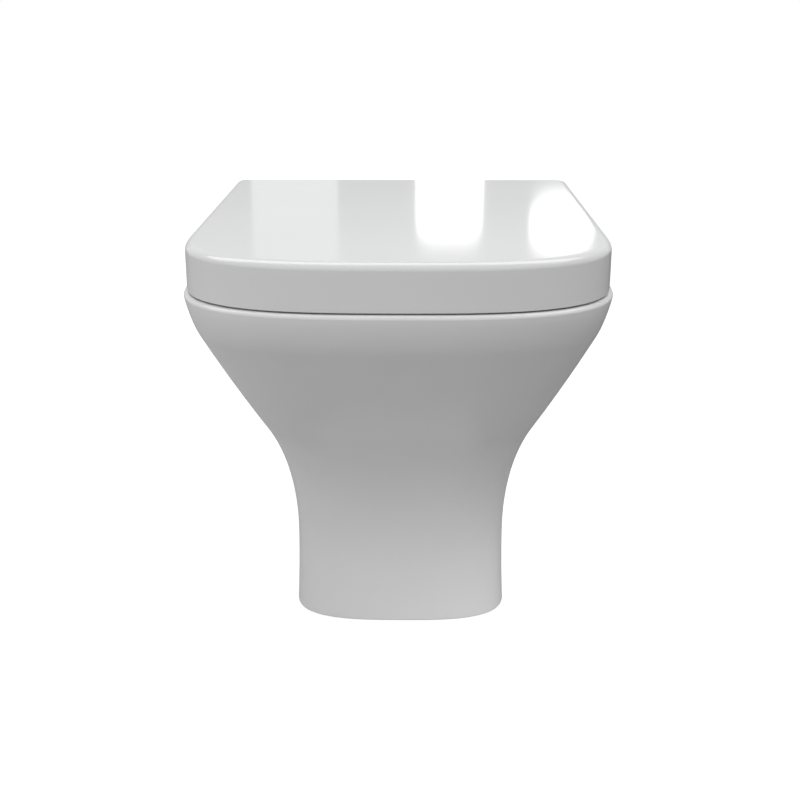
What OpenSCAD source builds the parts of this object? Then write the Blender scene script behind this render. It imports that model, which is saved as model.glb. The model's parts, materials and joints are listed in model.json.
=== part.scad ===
// Back to wall toilet: a skirted pan with a wrap-over soft close seat and lid.
// Millimetres, +Z up. The front faces -Y, and the flat back stands against a wall at +Y.
// The origin is the middle of the footprint, on the floor.

/* [Pan] */
// Width over the rim
pan_w = 365; // [350:1:385]
// Height of the rim above the floor
pan_h = 397; // [390:1:430]
// How far the rim stands out from the wall
pan_l = 530; // [515:1:570]
// Width of the foot above its flare
foot_w = 220; // [205:1:250]
// How far the foot is set back behind the nose of the rim
foot_setback = 242; // [215:1:250]
// How far the bottom edge of the foot flares out
foot_flare = 2.5; // [1:0.5:5]
// Height of the flare
flare_h = 100; // [60:5:110]
// Thickness of the skirt
skirt_t = 13; // [11:0.5:14]
// Thickness of the deck that carries the seat
deck_t = 16; // [13:0.5:19]
// Radius of the rim's outer edge
rim_edge_r = 7; // [4:0.5:9]
// Depth of the rounded nose of the rim
rim_nose = 126; // [105:1:135]
// Depth of the rounded nose of the foot
foot_nose = 67; // [60:1:80]

/* [Skin curves] */
// Height where the sides start to spread
side_start = 88; // [78:1:100]
// Radius of the hollow stretch of the side
side_hollow_r = 430; // [380:5:480]
// Radius of the round stretch of the side
side_round_r = 52; // [40:1:80]
// Height where the nose starts to come forward
nose_start = 56; // [40:1:62]
// Radius of the hollow stretch under the nose
nose_hollow_r = 232; // [200:1:240]
// Radius of the round stretch of the nose
nose_round_r = 52; // [40:1:70]
// Squareness of the nose of the rim, where 2 is an ellipse
rim_power = 3; // [2.6:0.05:3.3]
// Squareness of the nose of the foot
foot_power = 2.95; // [2.6:0.05:3.3]
// How late the depth of the nose grows on its way up from the foot, where 1 is even
nose_blend = 2.8; // [1.5:0.1:3.5]

/* [Bowl] */
// Width of the rim between the skin and the opening
rim_band = 32; // [28:1:36]
// Radius of the opening's edge
opening_edge_r = 5; // [2:0.5:6]
// Distance from the wall to the back of the opening
opening_back = 178; // [170:1:190]
// Depth of the lip over the flushing channel
lip_h = 20; // [16:1:24]
// How far the flushing channel reaches under the lip
channel_in = 5; // [3:0.5:6]
// Depth of the shelf below the rim
shelf_h = 54; // [50:1:58]
// Width of the bowl at the shelf
shelf_w = 272; // [262:1:280]
// Width of the sump
sump_w = 74; // [68:1:84]
// Thickness of the bowl's wall
bowl_t = 12; // [10:0.5:13]
// Level thickness of the front wall
front_t = 20; // [18:1:22]
// Distance from the wall to the face of the dip
dip_from_wall = 238; // [234:1:242]

/* [Trap and outlet] */
// Height of the middle of the outlet
outlet_h = 185; // [180:1:190]
// Outside diameter of the outlet
outlet_d = 102; // [100:1:104]
// Inside diameter of the outlet
outlet_bore = 82; // [76:1:84]
// Distance from the wall to the end of the outlet
outlet_end = 30; // [20:1:40]
// Length of the outlet's round end, which a connector slides over
outlet_l = 36; // [30:1:38]
// Inside diameter of the trap
trap_bore = 66; // [60:1:70]
// Thickness of the trap's wall
trap_t = 11; // [9:0.5:12]
// Radius of the trap's bends
trap_bend_r = 48; // [47:0.5:52]
// Height of the middle of the trap's entry
trap_entry_h = 103; // [100:1:108]
// Steepness of the leg that rises to the weir
trap_rise = 80; // [76:1:82]
// Steepness of the leg that falls from the weir
trap_fall = 50; // [46:1:54]

/* [Flush inlet] */
// Height of the middle of the inlet
inlet_h = 340; // [336:1:344]
// Diameter of the mouth of the inlet's socket
inlet_bore = 56; // [54:0.5:58]
// How much the socket's radius shrinks to its bottom
inlet_draft = 0.6; // [0.3:0.1:1]
// Depth of the inlet's socket
inlet_depth = 40; // [34:1:46]
// Diameter of the passage from the socket to the bowl
inlet_passage = 40; // [34:1:44]
// Thickness of the wall round the socket
inlet_t = 12; // [11:0.5:13]
// Distance from the wall to the mouth of the socket
inlet_end = 44; // [36:1:52]
// Diameter of the flush pipe that the seal takes
flush_pipe_d = 44.5; // [43:0.1:46]
// Width of the seal's flange beyond the socket
seal_flange = 5; // [3:0.5:8]
// Thickness of the seal's flange
seal_flange_t = 4; // [2:0.5:6]

/* [Lid and seat] */
// Width of the lid
lid_w = 360; // [345:1:380]
// Height of the lid from its lower edge to its top
lid_h = 39; // [37:0.5:44]
// Gap between the rim and the lid
lid_gap = 2; // [1.5:0.5:4]
// How far the rim's nose stands ahead of the lid
lid_setback = 3; // [1:0.5:6]
// Distance from the wall to the back of the lid
lid_back = 95; // [90:1:105]
// Thickness of the lid's skirt
lid_t = 4; // [3:0.5:4.5]
// Thickness of the lid's top
lid_top_t = 5; // [4:0.5:6]
// Radius of the lid's top edge
lid_edge_r = 5; // [3:0.5:6]
// Radius of the lid's rear corners
lid_corner_r = 12; // [8:1:20]
// Gap between the lid's skirt and the seat
seat_side_gap = 4; // [3:0.5:6]
// Thickness of the seat
seat_t = 20; // [16:0.5:21]
// Gap between the rim and the seat
seat_gap = 5; // [4:0.5:6]
// Radius of the seat's upper edges
seat_edge_r = 7; // [4:0.5:8]
// Width of the seat at its sides and nose
seat_band = 60; // [54:1:66]
// Distance from the wall to the back of the seat's opening
seat_hole_back = 192; // [185:1:205]
// Diameter of the seat's buffers
seat_buffer_d = 14; // [12:1:16]
// Diameter of the lid's buffers
lid_buffer_d = 14; // [10:1:18]
// Gap under a buffer that rests
rest_gap = 0.3; // [0.2:0.05:0.4]

/* [Hinges] */
// Distance between the seat's two fixings
fixing_spacing = 155; // [145:1:165]
// Height of the hinge axis above the rim
axis_h = 21; // [20.5:0.5:22.5]
// Distance from the inside of the lid's back to the hinge axis
axis_in = 11.2; // [11.2:0.1:12.5]
// Radius of the round hinge lugs
lug_r = 10.5; // [10:0.1:10.5]
// Diameter of the hinge pins
pin_d = 8; // [7:0.5:9]
// Length of a hinge pin
pin_l = 76; // [70:1:80]
// Running clearance round a pin, on the radius
pin_clear = 0.05; // [0.03:0.01:0.1]
// Width of a hinge block
block_w = 28; // [26:0.5:30]
// Gap on each side of a hinge block
block_gap = 0.8; // [0.5:0.1:1.2]
// Length of a hinge lug
lug_l = 50; // [46:1:54]
// Diameter of a soft close damper
damper_d = 16; // [14:0.5:16.5]
// Length of a soft close damper
damper_l = 46; // [40:1:48]
// Outside diameter of a hinge bush
bush_d = 13; // [11.5:0.5:14]
// Gap between a damper or bush and its lug, on the radius
insert_gap = 0.05; // [0.02:0.01:0.1]
// Diameter of a hinge base
base_d = 31; // [29:0.5:32]
// Thickness of a hinge base
base_t = 2; // [1.5:0.5:2.5]
// Thickness of the gasket under a hinge base
gasket_t = 1; // [0.5:0.5:1.5]
// Diameter of the post inside a hinge block
post_d = 9; // [8:0.5:9]
// Travel of a release button
button_travel = 2.5; // [1.5:0.1:3]
// Thickness of a release button
button_t = 4.6; // [3.5:0.1:5]
// Width of a release button
button_w = 16; // [14.5:0.5:17]
// How far a release button stands proud
button_proud = 1.5; // [1.2:0.1:2]
// Gap round a release button
button_gap = 0.3; // [0.2:0.05:0.4]

/* [Seat fixings] */
// Diameter of the fixing holes in the deck
fixing_hole_d = 14; // [13:0.5:16]
// Diameter of a fixing stud
stud_d = 8; // [6:0.5:8]
// How far a fixing stud reaches below the deck
stud_drop = 34; // [30:1:40]
// Diameter of a fixing washer
washer_d = 30; // [26:1:34]
// Thickness of a fixing washer
washer_t = 3; // [2:0.5:4]
// Diameter of the round middle of a wing nut
nut_d = 18; // [14:1:20]
// Height of a wing nut
nut_h = 14; // [10:1:16]
// Span over the wings of a nut
wing_span = 40; // [34:1:44]
// Thickness of a wing
wing_t = 4; // [3:0.5:5]

/* [Floor fixings] */
// Distance between the two floor screws
floor_spacing = 140; // [136:1:144]
// Distance from the wall to the floor screws
bracket_from_wall = 112; // [90:1:130]
// Diameter of a floor screw's hole
floor_hole_d = 8; // [6:0.5:9]
// Length of a bracket along the skirt
bracket_l = 50; // [44:1:60]
// Height of a bracket's upright
bracket_h = 46; // [42:1:50]
// Width of a bracket's flat foot
bracket_foot = 46; // [44:1:50]
// Thickness of a bracket
bracket_t = 6; // [4:0.5:7]
// Gap between a bracket and the skirt
bracket_gap = 0.3; // [0.2:0.05:0.5]
// Height of a side screw
side_screw_h = 30; // [28:1:32]
// Diameter of a side screw
side_screw_d = 6; // [5:0.5:7]
// Length of a side screw under its head
side_screw_l = 32; // [28:1:34]
// Outside diameter of the sleeve round a side screw
sleeve_d = 10; // [9:0.5:12]
// Gap between a sleeve or bush and its hole, on the radius
sleeve_gap = 0.15; // [0.1:0.05:0.3]
// Diameter of a side screw's head
screw_head_d = 11; // [9:0.5:12]
// Height of a side screw's head
screw_head_h = 3; // [2:0.5:3.5]
// Diameter of a cover cap
cap_d = 20; // [18:1:22]
// Height of a cover cap
cap_h = 5.5; // [5.5:0.1:7]
// Thickness of a cover cap
cap_t = 1.6; // [1.2:0.1:1.8]
// Gap between a cover cap and the skirt
cap_gap = 0.7; // [0.6:0.05:0.9]

/* [Hidden] */
$fn = 48;
cut = 1;                // how far a cutting shape runs past the face that it cuts
join = 1;               // how far joined shapes overlap
nose_steps = 32;        // steps round a superellipse nose
bowl_steps = 44;        // steps round the bowl
basin_steps = 9;        // steps up the basin
skin_step = 20;         // steps up the skin below the straight stretch
straight_z = 240;       // height where the straight stretch of the skin has begun
trap_sides = 20;        // sides of the trap's tube
ceramic = "#f5f5f2";
plastic = "#f8f8f6";
chrome = "#c4c8cc";
steel = "#9a9ea3";
nylon = "#e2dfd6";
rubber = "#55585c";

back_y = pan_l / 2;
nose_y = -pan_l / 2;
function wall(d) = back_y - d;                      // y at a distance d from the wall
function mix(a, b, t) = a + (b - a) * t;
function lift(ring, z) = [for (p = ring) [p[0], p[1], z]];

// The pan's skin

// Lean of the straight stretch between two arcs whose radii add up to radii
function lean(shift, rise, radii) =
    asin(radii / norm([rise, shift - radii])) + atan2(shift - radii, rise);

// Outward shift at height z of an S: a hollow arc, a straight stretch and a round arc
function s_curve(z, low, high, shift, hollow_r, round_r) =
    let (a = lean(shift, high - low, hollow_r + round_r),
         line_low = low + hollow_r * sin(a),
         line_high = high - round_r * sin(a))
    z <= low ? 0 :
    z < line_low ? hollow_r - sqrt(pow(hollow_r, 2) - pow(z - low, 2)) :
    z < line_high ? hollow_r * (1 - cos(a)) + (z - line_low) * tan(a) :
    z < high ? shift - round_r + sqrt(pow(round_r, 2) - pow(high - z, 2)) : shift;

spread = (pan_w - foot_w) / 2;
rim_edge_z = pan_h - rim_edge_r;
function flare(z) = foot_flare * pow(max(0, 1 - z / flare_h), 2);
// What a round arc of radius r still gains over the height of the rim's edge
function edge_gain(r) = r - sqrt(pow(r, 2) - pow(rim_edge_r, 2));
function side_s(z) =
    s_curve(z, side_start, pan_h, spread + edge_gain(side_round_r), side_hollow_r, side_round_r);
function nose_s(z) =
    s_curve(z, nose_start, pan_h, foot_setback + edge_gain(nose_round_r),
            nose_hollow_r, nose_round_r);
function skin_x(z) = foot_w / 2 + side_s(z) + flare(z);
function skin_nose_y(z) = nose_y + foot_setback - nose_s(z) - flare(z);
function skin_share(z) = min(1, side_s(z) / spread);
function edge_in(z) = z <= rim_edge_z ? 0 :
    rim_edge_r - sqrt(max(0, pow(rim_edge_r, 2) - pow(z - rim_edge_z, 2)));

// Half turn of a superellipse from its left end, round the nose, to its right end
function nose_curve(half_w, tip_y, depth, power) = [
    for (i = [0:nose_steps])
        let (a = 180 * i / nose_steps)
        [-half_w * sign(cos(a)) * pow(abs(cos(a)), 2 / power),
         tip_y + depth * (1 - pow(sin(a), 2 / power))]];

function skin_ring(z, inset, end_y) =
    let (x = skin_x(z) - inset,
         depth = mix(foot_nose, rim_nose, pow(skin_share(z), nose_blend)),
         power = mix(foot_power, rim_power, skin_share(z)))
    lift(concat([[-x, end_y]],
                nose_curve(x, skin_nose_y(z) + inset, depth - inset / 2, power),
                [[x, end_y]]), z);

skin_levels = concat(
    [for (z = [0:skin_step:straight_z]) z],
    [for (a = [50:-10:10]) pan_h - nose_round_r * sin(a)],
    [for (a = [0:22.5:90]) rim_edge_z + rim_edge_r * sin(a)]);
shelf_z = pan_h - shelf_h;
rim_rise = 2;                                       // the solid rim starts this much over the ledge
rim_under = shelf_z + rim_rise;
deck_under = pan_h - deck_t;
cavity_levels = concat([-cut], [for (z = [skin_step:skin_step:straight_z]) z],
    [(straight_z + rim_under) / 2, rim_under]);

// The bowl

sump_z = trap_entry_h - trap_bore / 2;
water_z = outlet_h + 2 * trap_bend_r * (1 - cos(trap_fall)) - trap_bore / 2;
sump_edge_r = 14;
bowl_curve = 1.4;                                   // how hollow the bowl's sides are
back_curve = 0.85;                                  // how round the bowl's back is
sump_power = 2.2;                                   // squareness of the sump
opening_power = 2.6;                                // squareness of the opening
channel_edge = 5;                                   // height of the channel's rounded edges
opening_w = pan_w - 2 * rim_band;

// One ring of the bowl: a closed superellipse between two ends
function bowl_ring(z, half_w, front_y, rear_y, power) = [
    for (i = [0:bowl_steps - 1])
        let (a = 360 * i / bowl_steps, c = cos(a), s = sin(a))
        [half_w * sign(c) * pow(abs(c), 2 / power),
         (front_y + rear_y) / 2 + (rear_y - front_y) / 2 * sign(s) * pow(abs(s), 2 / power),
         z]];

// A ring of the basin, from the sump up to the shelf, grown outwards by grow
function basin_ring(z, grow) =
    let (t = (z - sump_z) / (shelf_z - sump_z),
         up = max(0, (z - water_z) / (shelf_z - water_z)),
         low = max(0, sump_z + sump_edge_r - z),
         edge_r = sump_edge_r + grow,
         out = grow - edge_r + sqrt(max(0, pow(edge_r, 2) - pow(low, 2))))
    bowl_ring(z, mix(sump_w, shelf_w, pow(max(0, t), bowl_curve)) / 2 + out,
              skin_nose_y(z) + front_t - out,
              wall(mix(dip_from_wall, opening_back + rim_band / 4, pow(up, back_curve))) + out,
              mix(sump_power, opening_power, t));

// A ring of the rim's opening, grown outwards by grow, that keeps the front wall's thickness
function opening_ring(z, grow) =
    bowl_ring(z, opening_w / 2 + grow,
              max(nose_y + rim_band - grow, skin_nose_y(min(z, rim_edge_z)) + front_t),
              wall(opening_back) + grow, opening_power);

// Rings from the bottom of the sump up to the shelf, grown outwards by grow
function basin_rings(grow) = concat(
    [for (a = [0:22.5:90])
        basin_ring(sump_z + sump_edge_r - (sump_edge_r + grow) * cos(a), grow)],
    [for (i = [1:basin_steps - 1]) basin_ring(mix(sump_z, shelf_z, i / basin_steps), grow)],
    [basin_ring(shelf_z, grow)]);
bowl_rings = concat(
    basin_rings(0),
    [opening_ring(shelf_z + channel_edge, channel_in),
     opening_ring(pan_h - lip_h - channel_edge, channel_in),
     opening_ring(pan_h - lip_h, channel_in / 2),
     opening_ring(pan_h - lip_h + channel_edge / 2, 0)],
    [for (a = [0:30:90])
        opening_ring(pan_h - opening_edge_r * (1 - sin(a)), opening_edge_r * (1 - cos(a)))],
    [opening_ring(pan_h + cut, opening_edge_r)]);
bowl_outer_rings = concat(basin_rings(bowl_t), [basin_ring(rim_under + join, bowl_t)]);

// The trap

// Points of a bend in the plane of distance from the wall, height and heading.
// Heading 0 points to the wall, and 90 points up.
function bend(d, z, from, to, steps) =
    let (k = sign(to - from))
    [for (i = [1:steps])
        let (h = mix(from, to, i / steps))
        [d - k * trap_bend_r * (sin(h) - sin(from)), z + k * trap_bend_r * (cos(from) - cos(h)), h]];

function last_of(list) = list[len(list) - 1];
trap_behind_dip = 4;                                // from the face of the dip to the first bend
trap_start = dip_from_wall - trap_behind_dip;
trap_lead = 22;                                     // straight run under the dip
trap_tail = 6;                                      // straight run into the outlet
trap_web_w = 50;                                    // width of the web from the bowl to the trap
trap_web_l = 30;                                    // how far that web runs behind the dip's face
trap_leg = (outlet_h - trap_entry_h - 2 * trap_bend_r * (cos(trap_fall) - cos(trap_rise)))
    / sin(trap_rise);
rising = bend(trap_start, trap_entry_h, 0, trap_rise, 5);
leg_top = [last_of(rising)[0] - trap_leg * cos(trap_rise),
    last_of(rising)[1] + trap_leg * sin(trap_rise)];
crown = bend(leg_top[0], leg_top[1], trap_rise, -trap_fall, 8);
falling = bend(last_of(crown)[0], last_of(crown)[1], -trap_fall, 0, 4);
trap_path = concat([[trap_start + trap_lead, trap_entry_h, 0], [trap_start, trap_entry_h, 0]],
    rising, [[leg_top[0], leg_top[1], trap_rise]], crown, falling,
    [[last_of(falling)[0] - trap_tail, outlet_h, 0]]);

function trap_ring(p, r) = [
    for (i = [0:trap_sides - 1])
        let (a = 360 * (i + 0.5) / trap_sides)
        [-r * cos(a), wall(p[0]) - r * sin(a) * sin(p[2]), p[1] + r * sin(a) * cos(p[2])]];

// The flush inlet

seal_short = 6;                                     // how far the seal stops short in its socket
passage_in = 20;                                    // how far the passage runs into the opening
barrel_in = 10;                                     // how far the inlet's barrel runs into the rim
inlet_web_w = 44;                                   // width of the web from the barrel to the deck

// Hinge places

axis_y = wall(lid_back + lid_t + axis_in);
axis_z = pan_h + axis_h;
fixing_x = fixing_spacing / 2;
lid_under = pan_h + lid_gap;
lid_top = lid_under + lid_h;
lid_ceiling = lid_top - lid_top_t;
seat_under = pan_h + seat_gap;
seat_top = seat_under + seat_t;
lid_nose_y = nose_y + lid_setback;
seat_inset = lid_t + seat_side_gap;
seat_hole_power = 2.4;                              // squareness of the seat's opening
seat_foot_r = 2;                                    // radius of the seat's lower edge
seat_hinge_gap = 1.8;                               // gap between the seat and the hinge blocks
seat_back_y = axis_y - lug_r - seat_hinge_gap;
seat_web = 14;                                      // how far a lug's web runs into the seat
web_up = 1;                                         // how far a web starts above its lug's bottom
web_down = 0.5;                                     // how far a web stays below the seat's top
end_room = 2;                                       // room behind a pin, a bush or a damper
sweep_gap = 2;                                      // gap between the deck and the lid's rear edge
buffer_edge = 3;                                    // how far the buffers stay inside the seat
side_buffer_from_wall = 250;                        // distance from the wall to the side buffers
nose_buffer_a = 62;                                 // how far round the nose the front buffers are
base_z = pan_h + gasket_t;
block_z = base_z + base_t;
button_floor = 2.4;                                 // what a hinge block leaves under a button
button_wall = 2;                                    // what a hinge block leaves ahead of a button
button_z = block_z + button_floor;
post_roof = 1.6;                                    // what a hinge block leaves over the post
post_top = axis_z - pin_d / 2 - post_roof;
notch_gap = 3;                                      // gap beside a hinge block in the lid
block_front_y = axis_y - lug_r;
block_rear_y = axis_y + lug_r;
button_front_y = block_front_y + button_wall + button_travel + button_gap;
bush_l = (pin_l - block_w) / 2;
arm_l = bush_l - block_gap;                         // how far a pin reaches into a lug

// Shapes that repeat

// Solid through rings of points that run the same way round, first ring to last
module loft(rings) {
    n = len(rings[0]);
    last = len(rings) - 1;
    sides = [for (r = [0:last - 1]) for (i = [0:n - 1])
        let (a = r * n + i, b = r * n + (i + 1) % n)
        each [[a, a + n, b], [b, a + n, b + n]]];
    polyhedron(points = [for (ring = rings) each ring],
        faces = concat([[for (i = [0:n - 1]) i]], sides,
                       [[for (i = [n - 1:-1:0]) last * n + i]]));
}

// Cylinder along X from x, length l
module rod_x(x, l, r) {
    translate([x, 0, 0]) rotate([0, 90, 0]) cylinder(h = l, r = r);
}

// Round bar along Y that ends at a distance from the wall and runs l towards the front.
// Its radius there is smaller by draft.
module rod_y(from_wall, l, r, draft = 0) {
    translate([0, wall(from_wall), 0]) rotate([90, 0, 0]) cylinder(h = l, r1 = r, r2 = r - draft);
}

module tube(h, r, bore_r) {
    difference() {
        cylinder(h = h, r = r);
        translate([0, 0, -cut]) cylinder(h = h + 2 * cut, r = bore_r);
    }
}

module at_axis() {
    translate([0, axis_y, axis_z]) children();
}

module at_fixings() {
    for (side = [-1, 1]) translate([side * fixing_x, axis_y, 0]) children();
}

module on_left() {
    mirror([1, 0, 0]) children();
}

module on_both_sides() {
    children();
    on_left() children();
}

// The pan

module pan() {
    color(ceramic) difference() {
        pan_skin();
        pan_cavity();
        loft(bowl_rings);
        loft([for (p = trap_path) trap_ring(p, trap_bore / 2)]);
        translate([0, 0, outlet_h])
            rod_y(outlet_end - cut, outlet_l - trap_t + cut, outlet_bore / 2);
        translate([0, 0, inlet_h])
            rod_y(inlet_end - cut, inlet_depth + cut, inlet_bore / 2, inlet_draft);
        translate([0, 0, inlet_h])
            rod_y(inlet_end + inlet_depth - cut,
                  opening_back - inlet_end - inlet_depth + passage_in, inlet_passage / 2);
        at_fixings() translate([0, 0, deck_under - cut])
            cylinder(h = deck_t + 2 * cut, r = fixing_hole_d / 2);
        on_both_sides() at_side_screw()
            translate([0, 0, -cut]) cylinder(h = skirt_t + 2 * cut, r = sleeve_d / 2 + sleeve_gap);
    }
}

module pan_skin() {
    loft([for (z = skin_levels) skin_ring(z, edge_in(z), back_y)]);
}

// The hollow inside the skirt, less the bowl, the trap and the inlet that cross it
module pan_cavity() {
    difference() {
        union() {
            loft([for (z = cavity_levels) skin_ring(z, skirt_t, back_y + cut)]);
            loft([for (z = [rim_under - join, (rim_under + deck_under) / 2, deck_under])
                deck_ring(z)]);
        }
        loft(bowl_outer_rings);
        loft([for (p = trap_path) trap_ring(p, trap_bore / 2 + trap_t)]);
        translate([0, 0, outlet_h]) rod_y(outlet_end, outlet_l, outlet_d / 2);
        translate([0, 0, inlet_h])
            rod_y(inlet_end, opening_back - inlet_end + barrel_in, inlet_bore / 2 + inlet_t);
        translate([-inlet_web_w / 2, wall(opening_back), inlet_h])
            cube([inlet_web_w, opening_back - inlet_end, deck_under - inlet_h + join]);
        translate([-trap_web_w / 2, wall(dip_from_wall), trap_entry_h])
            cube([trap_web_w, trap_web_l, outlet_h + trap_bore / 2 - trap_entry_h]);
    }
}

// The hollow under the deck, behind the bowl
function deck_ring(z) =
    let (x = skin_x(z) - skirt_t, front = wall(opening_back - bowl_t - channel_in))
    [[-x, front, z], [x, front, z], [x, back_y + cut, z], [-x, back_y + cut, z]];

// The middle of the right side screw on the skirt's inner face, with Z pointing outwards
skirt_in_x = skin_x(side_screw_h) - skirt_t;
module at_side_screw() {
    translate([skirt_in_x, wall(bracket_from_wall), side_screw_h]) rotate([0, 90, 0]) children();
}

module inlet_seal() {
    seal_l = inlet_depth - seal_short;
    color(rubber) translate([0, 0, inlet_h]) difference() {
        union() {
            rod_y(inlet_end, seal_l, inlet_bore / 2 - sleeve_gap,
                  inlet_draft * seal_l / inlet_depth);
            rod_y(inlet_end - seal_flange_t, seal_flange_t, inlet_bore / 2 + seal_flange);
        }
        rod_y(inlet_end - seal_flange_t - cut, seal_l + seal_flange_t + 2 * cut, flush_pipe_d / 2);
    }
}

// Floor brackets and their screws

sleeve_out = 1;                                     // how far a sleeve stands proud of the skirt
wing_share = 0.75;                                  // height of the wings as a share of the nut's
gasket_inset = 1;                                   // how far a gasket stays inside its base
bracket_x = skin_x(bracket_h) - skirt_t - bracket_gap;  // outer face of the right upright

module bracket() {
    foot_x = bracket_x - bracket_foot;
    color(nylon) difference() {
        union() {
            translate([foot_x, wall(bracket_from_wall) - bracket_l / 2, 0])
                cube([bracket_foot, bracket_l, bracket_t]);
            translate([bracket_x - bracket_t, wall(bracket_from_wall) - bracket_l / 2, 0])
                cube([bracket_t, bracket_l, bracket_h]);
            for (end = [-1, 1]) bracket_rib(end);
        }
        translate([floor_spacing / 2, wall(bracket_from_wall), -cut])
            cylinder(h = bracket_t + 2 * cut, r = floor_hole_d / 2);
        at_side_screw() translate([0, 0, -side_screw_l])
            cylinder(h = side_screw_l + cut, r = side_screw_d / 2 + sleeve_gap);
    }
}

// A triangular rib at one end of a bracket
module bracket_rib(end) {
    rib_t = 4;
    translate([bracket_x - bracket_t, wall(bracket_from_wall) + end * (bracket_l - rib_t) / 2
               + rib_t / 2, bracket_t])
        rotate([90, 0, 0]) linear_extrude(rib_t)
            polygon([[-bracket_foot / 2, 0], [0, 0], [0, bracket_h - 2 * bracket_t]]);
}

module bracket_right() {
    bracket();
}

module bracket_left() {
    on_left() bracket();
}

module side_screws() {
    color(steel) on_both_sides() at_side_screw() translate([0, 0, skirt_t + sleeve_out]) {
        translate([0, 0, -side_screw_l]) cylinder(h = side_screw_l, r = side_screw_d / 2);
        cylinder(h = screw_head_h, r = screw_head_d / 2);
    }
}

module side_sleeves() {
    color(nylon) on_both_sides() at_side_screw()
        tube(skirt_t + sleeve_out, sleeve_d / 2, side_screw_d / 2 + sleeve_gap);
}

module cover_caps() {
    color(plastic) on_both_sides() at_side_screw() translate([0, 0, skirt_t + cap_gap])
        difference() {
            rotate_extrude() cap_profile();
            translate([0, 0, -cut])
                cylinder(h = cap_h - cap_t + cut, r = cap_d / 2 - cap_t);
        }
}

// Half section of a cap with a rounded edge
module cap_profile() {
    edge_r = cap_h / 2;
    square([cap_d / 2 - edge_r, cap_h]);
    square([cap_d / 2, cap_h - edge_r]);
    translate([cap_d / 2 - edge_r, cap_h - edge_r]) intersection() {
        circle(r = edge_r);
        square(edge_r);
    }
}

// Seat fixings, from the post inside each hinge block down to the wing nuts

module fixing_studs() {
    stud_z = deck_under - stud_drop;
    color(steel) at_fixings() {
        translate([0, 0, stud_z]) cylinder(h = post_top - stud_z, r = stud_d / 2);
        translate([0, 0, block_z]) cylinder(h = post_top - block_z, r = post_d / 2);
    }
}

module fixing_bushes() {
    color(nylon) at_fixings() translate([0, 0, deck_under])
        tube(deck_t, fixing_hole_d / 2 - sleeve_gap, stud_d / 2 + sleeve_gap);
}

module fixing_washers() {
    color(nylon) at_fixings() translate([0, 0, deck_under - washer_t])
        tube(washer_t, washer_d / 2, stud_d / 2 + sleeve_gap);
}

module fixing_nuts() {
    nut_z = deck_under - washer_t - nut_h;
    color(nylon) at_fixings() translate([0, 0, nut_z]) difference() {
        union() {
            cylinder(h = nut_h, r = nut_d / 2);
            translate([-wing_span / 2, -wing_t / 2, 0])
                cube([wing_span, wing_t, nut_h * wing_share]);
        }
        translate([0, 0, -cut]) cylinder(h = nut_h + 2 * cut, r = stud_d / 2 + sleeve_gap);
    }
}

// Hinges

module hinge_gaskets() {
    color(rubber) at_fixings() translate([0, 0, pan_h])
        tube(gasket_t, base_d / 2 - gasket_inset, stud_d / 2 + sleeve_gap);
}

module hinge_base() {
    color(chrome) translate([fixing_x, axis_y, base_z])
        tube(base_t, base_d / 2, stud_d / 2 + sleeve_gap);
}

module hinge_base_right() {
    hinge_base();
}

module hinge_base_left() {
    on_left() hinge_base();
}

module hinge_block() {
    neck_h = axis_z - block_z;
    color(chrome) translate([fixing_x, 0, 0]) difference() {
        union() {
            at_axis() rod_x(-block_w / 2, block_w, lug_r);
            translate([-block_w / 2, block_front_y, block_z]) cube([block_w, 2 * lug_r, neck_h]);
        }
        at_axis() rod_x(-block_w / 2 - cut, block_w + 2 * cut, pin_d / 2);
        translate([0, axis_y, block_z - cut])
            cylinder(h = post_top - block_z + cut + button_gap, r = post_d / 2 + sleeve_gap);
        translate([-button_w / 2 - button_gap, button_front_y - button_travel - button_gap,
                   button_z - button_gap])
            cube([button_w + 2 * button_gap, 2 * lug_r, button_t + 2 * button_gap]);
    }
}

module hinge_block_right() {
    hinge_block();
}

module hinge_block_left() {
    on_left() hinge_block();
}

module hinge_pin() {
    color(steel) at_axis() rod_x(fixing_x - pin_l / 2, pin_l, pin_d / 2);
}

module hinge_pin_right() {
    hinge_pin();
}

module hinge_pin_left() {
    on_left() hinge_pin();
}

// A latch plate that slides round the post, with its thumb end at the back of the block
module release_button() {
    slot_r = post_d / 2 + button_gap;
    color(plastic) translate([fixing_x, 0, button_z]) difference() {
        translate([-button_w / 2, button_front_y, 0])
            cube([button_w, block_rear_y + button_proud - button_front_y, button_t]);
        for (shift = [0, button_travel]) translate([0, axis_y + shift, -cut])
            cylinder(h = button_t + 2 * cut, r = slot_r);
        translate([-slot_r, axis_y, -cut]) cube([2 * slot_r, button_travel, button_t + 2 * cut]);
    }
}

module release_button_right() {
    release_button();
}

module release_button_left() {
    on_left() release_button();
}

// Seat and lid

// D-shaped outline of the lid, drawn in by inset, with round rear corners
function lid_outline(inset, end_y) =
    let (x = lid_w / 2 - inset,
         r = lid_corner_r - inset)
    concat([for (a = [90:30:180]) [-x + r + r * cos(a), end_y - r + r * sin(a)]],
           nose_curve(x, lid_nose_y + inset, rim_nose - inset / 2, rim_power),
           [for (a = [0:30:90]) [x - r + r * cos(a), end_y - r + r * sin(a)]]);

function lid_ring(z, inset) = lift(lid_outline(inset, wall(lid_back) - inset), z);
function seat_outer_ring(z, inset) =
    lift(lid_outline(seat_inset + inset, seat_back_y - inset), z);
function seat_hole_ring(z, grow) =
    bowl_ring(z, lid_w / 2 - seat_inset - seat_band + grow,
              lid_nose_y + seat_inset + seat_band - grow, wall(seat_hole_back) + grow,
              seat_hole_power);

// A round lug on the hinge axis, from x to x + l, with a web to what carries it
module lug(x, l, web_y, web_z, web_l, web_h) {
    at_axis() rod_x(x, l, lug_r);
    translate([x, web_y, web_z]) cube([l, web_l, web_h]);
}

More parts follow.
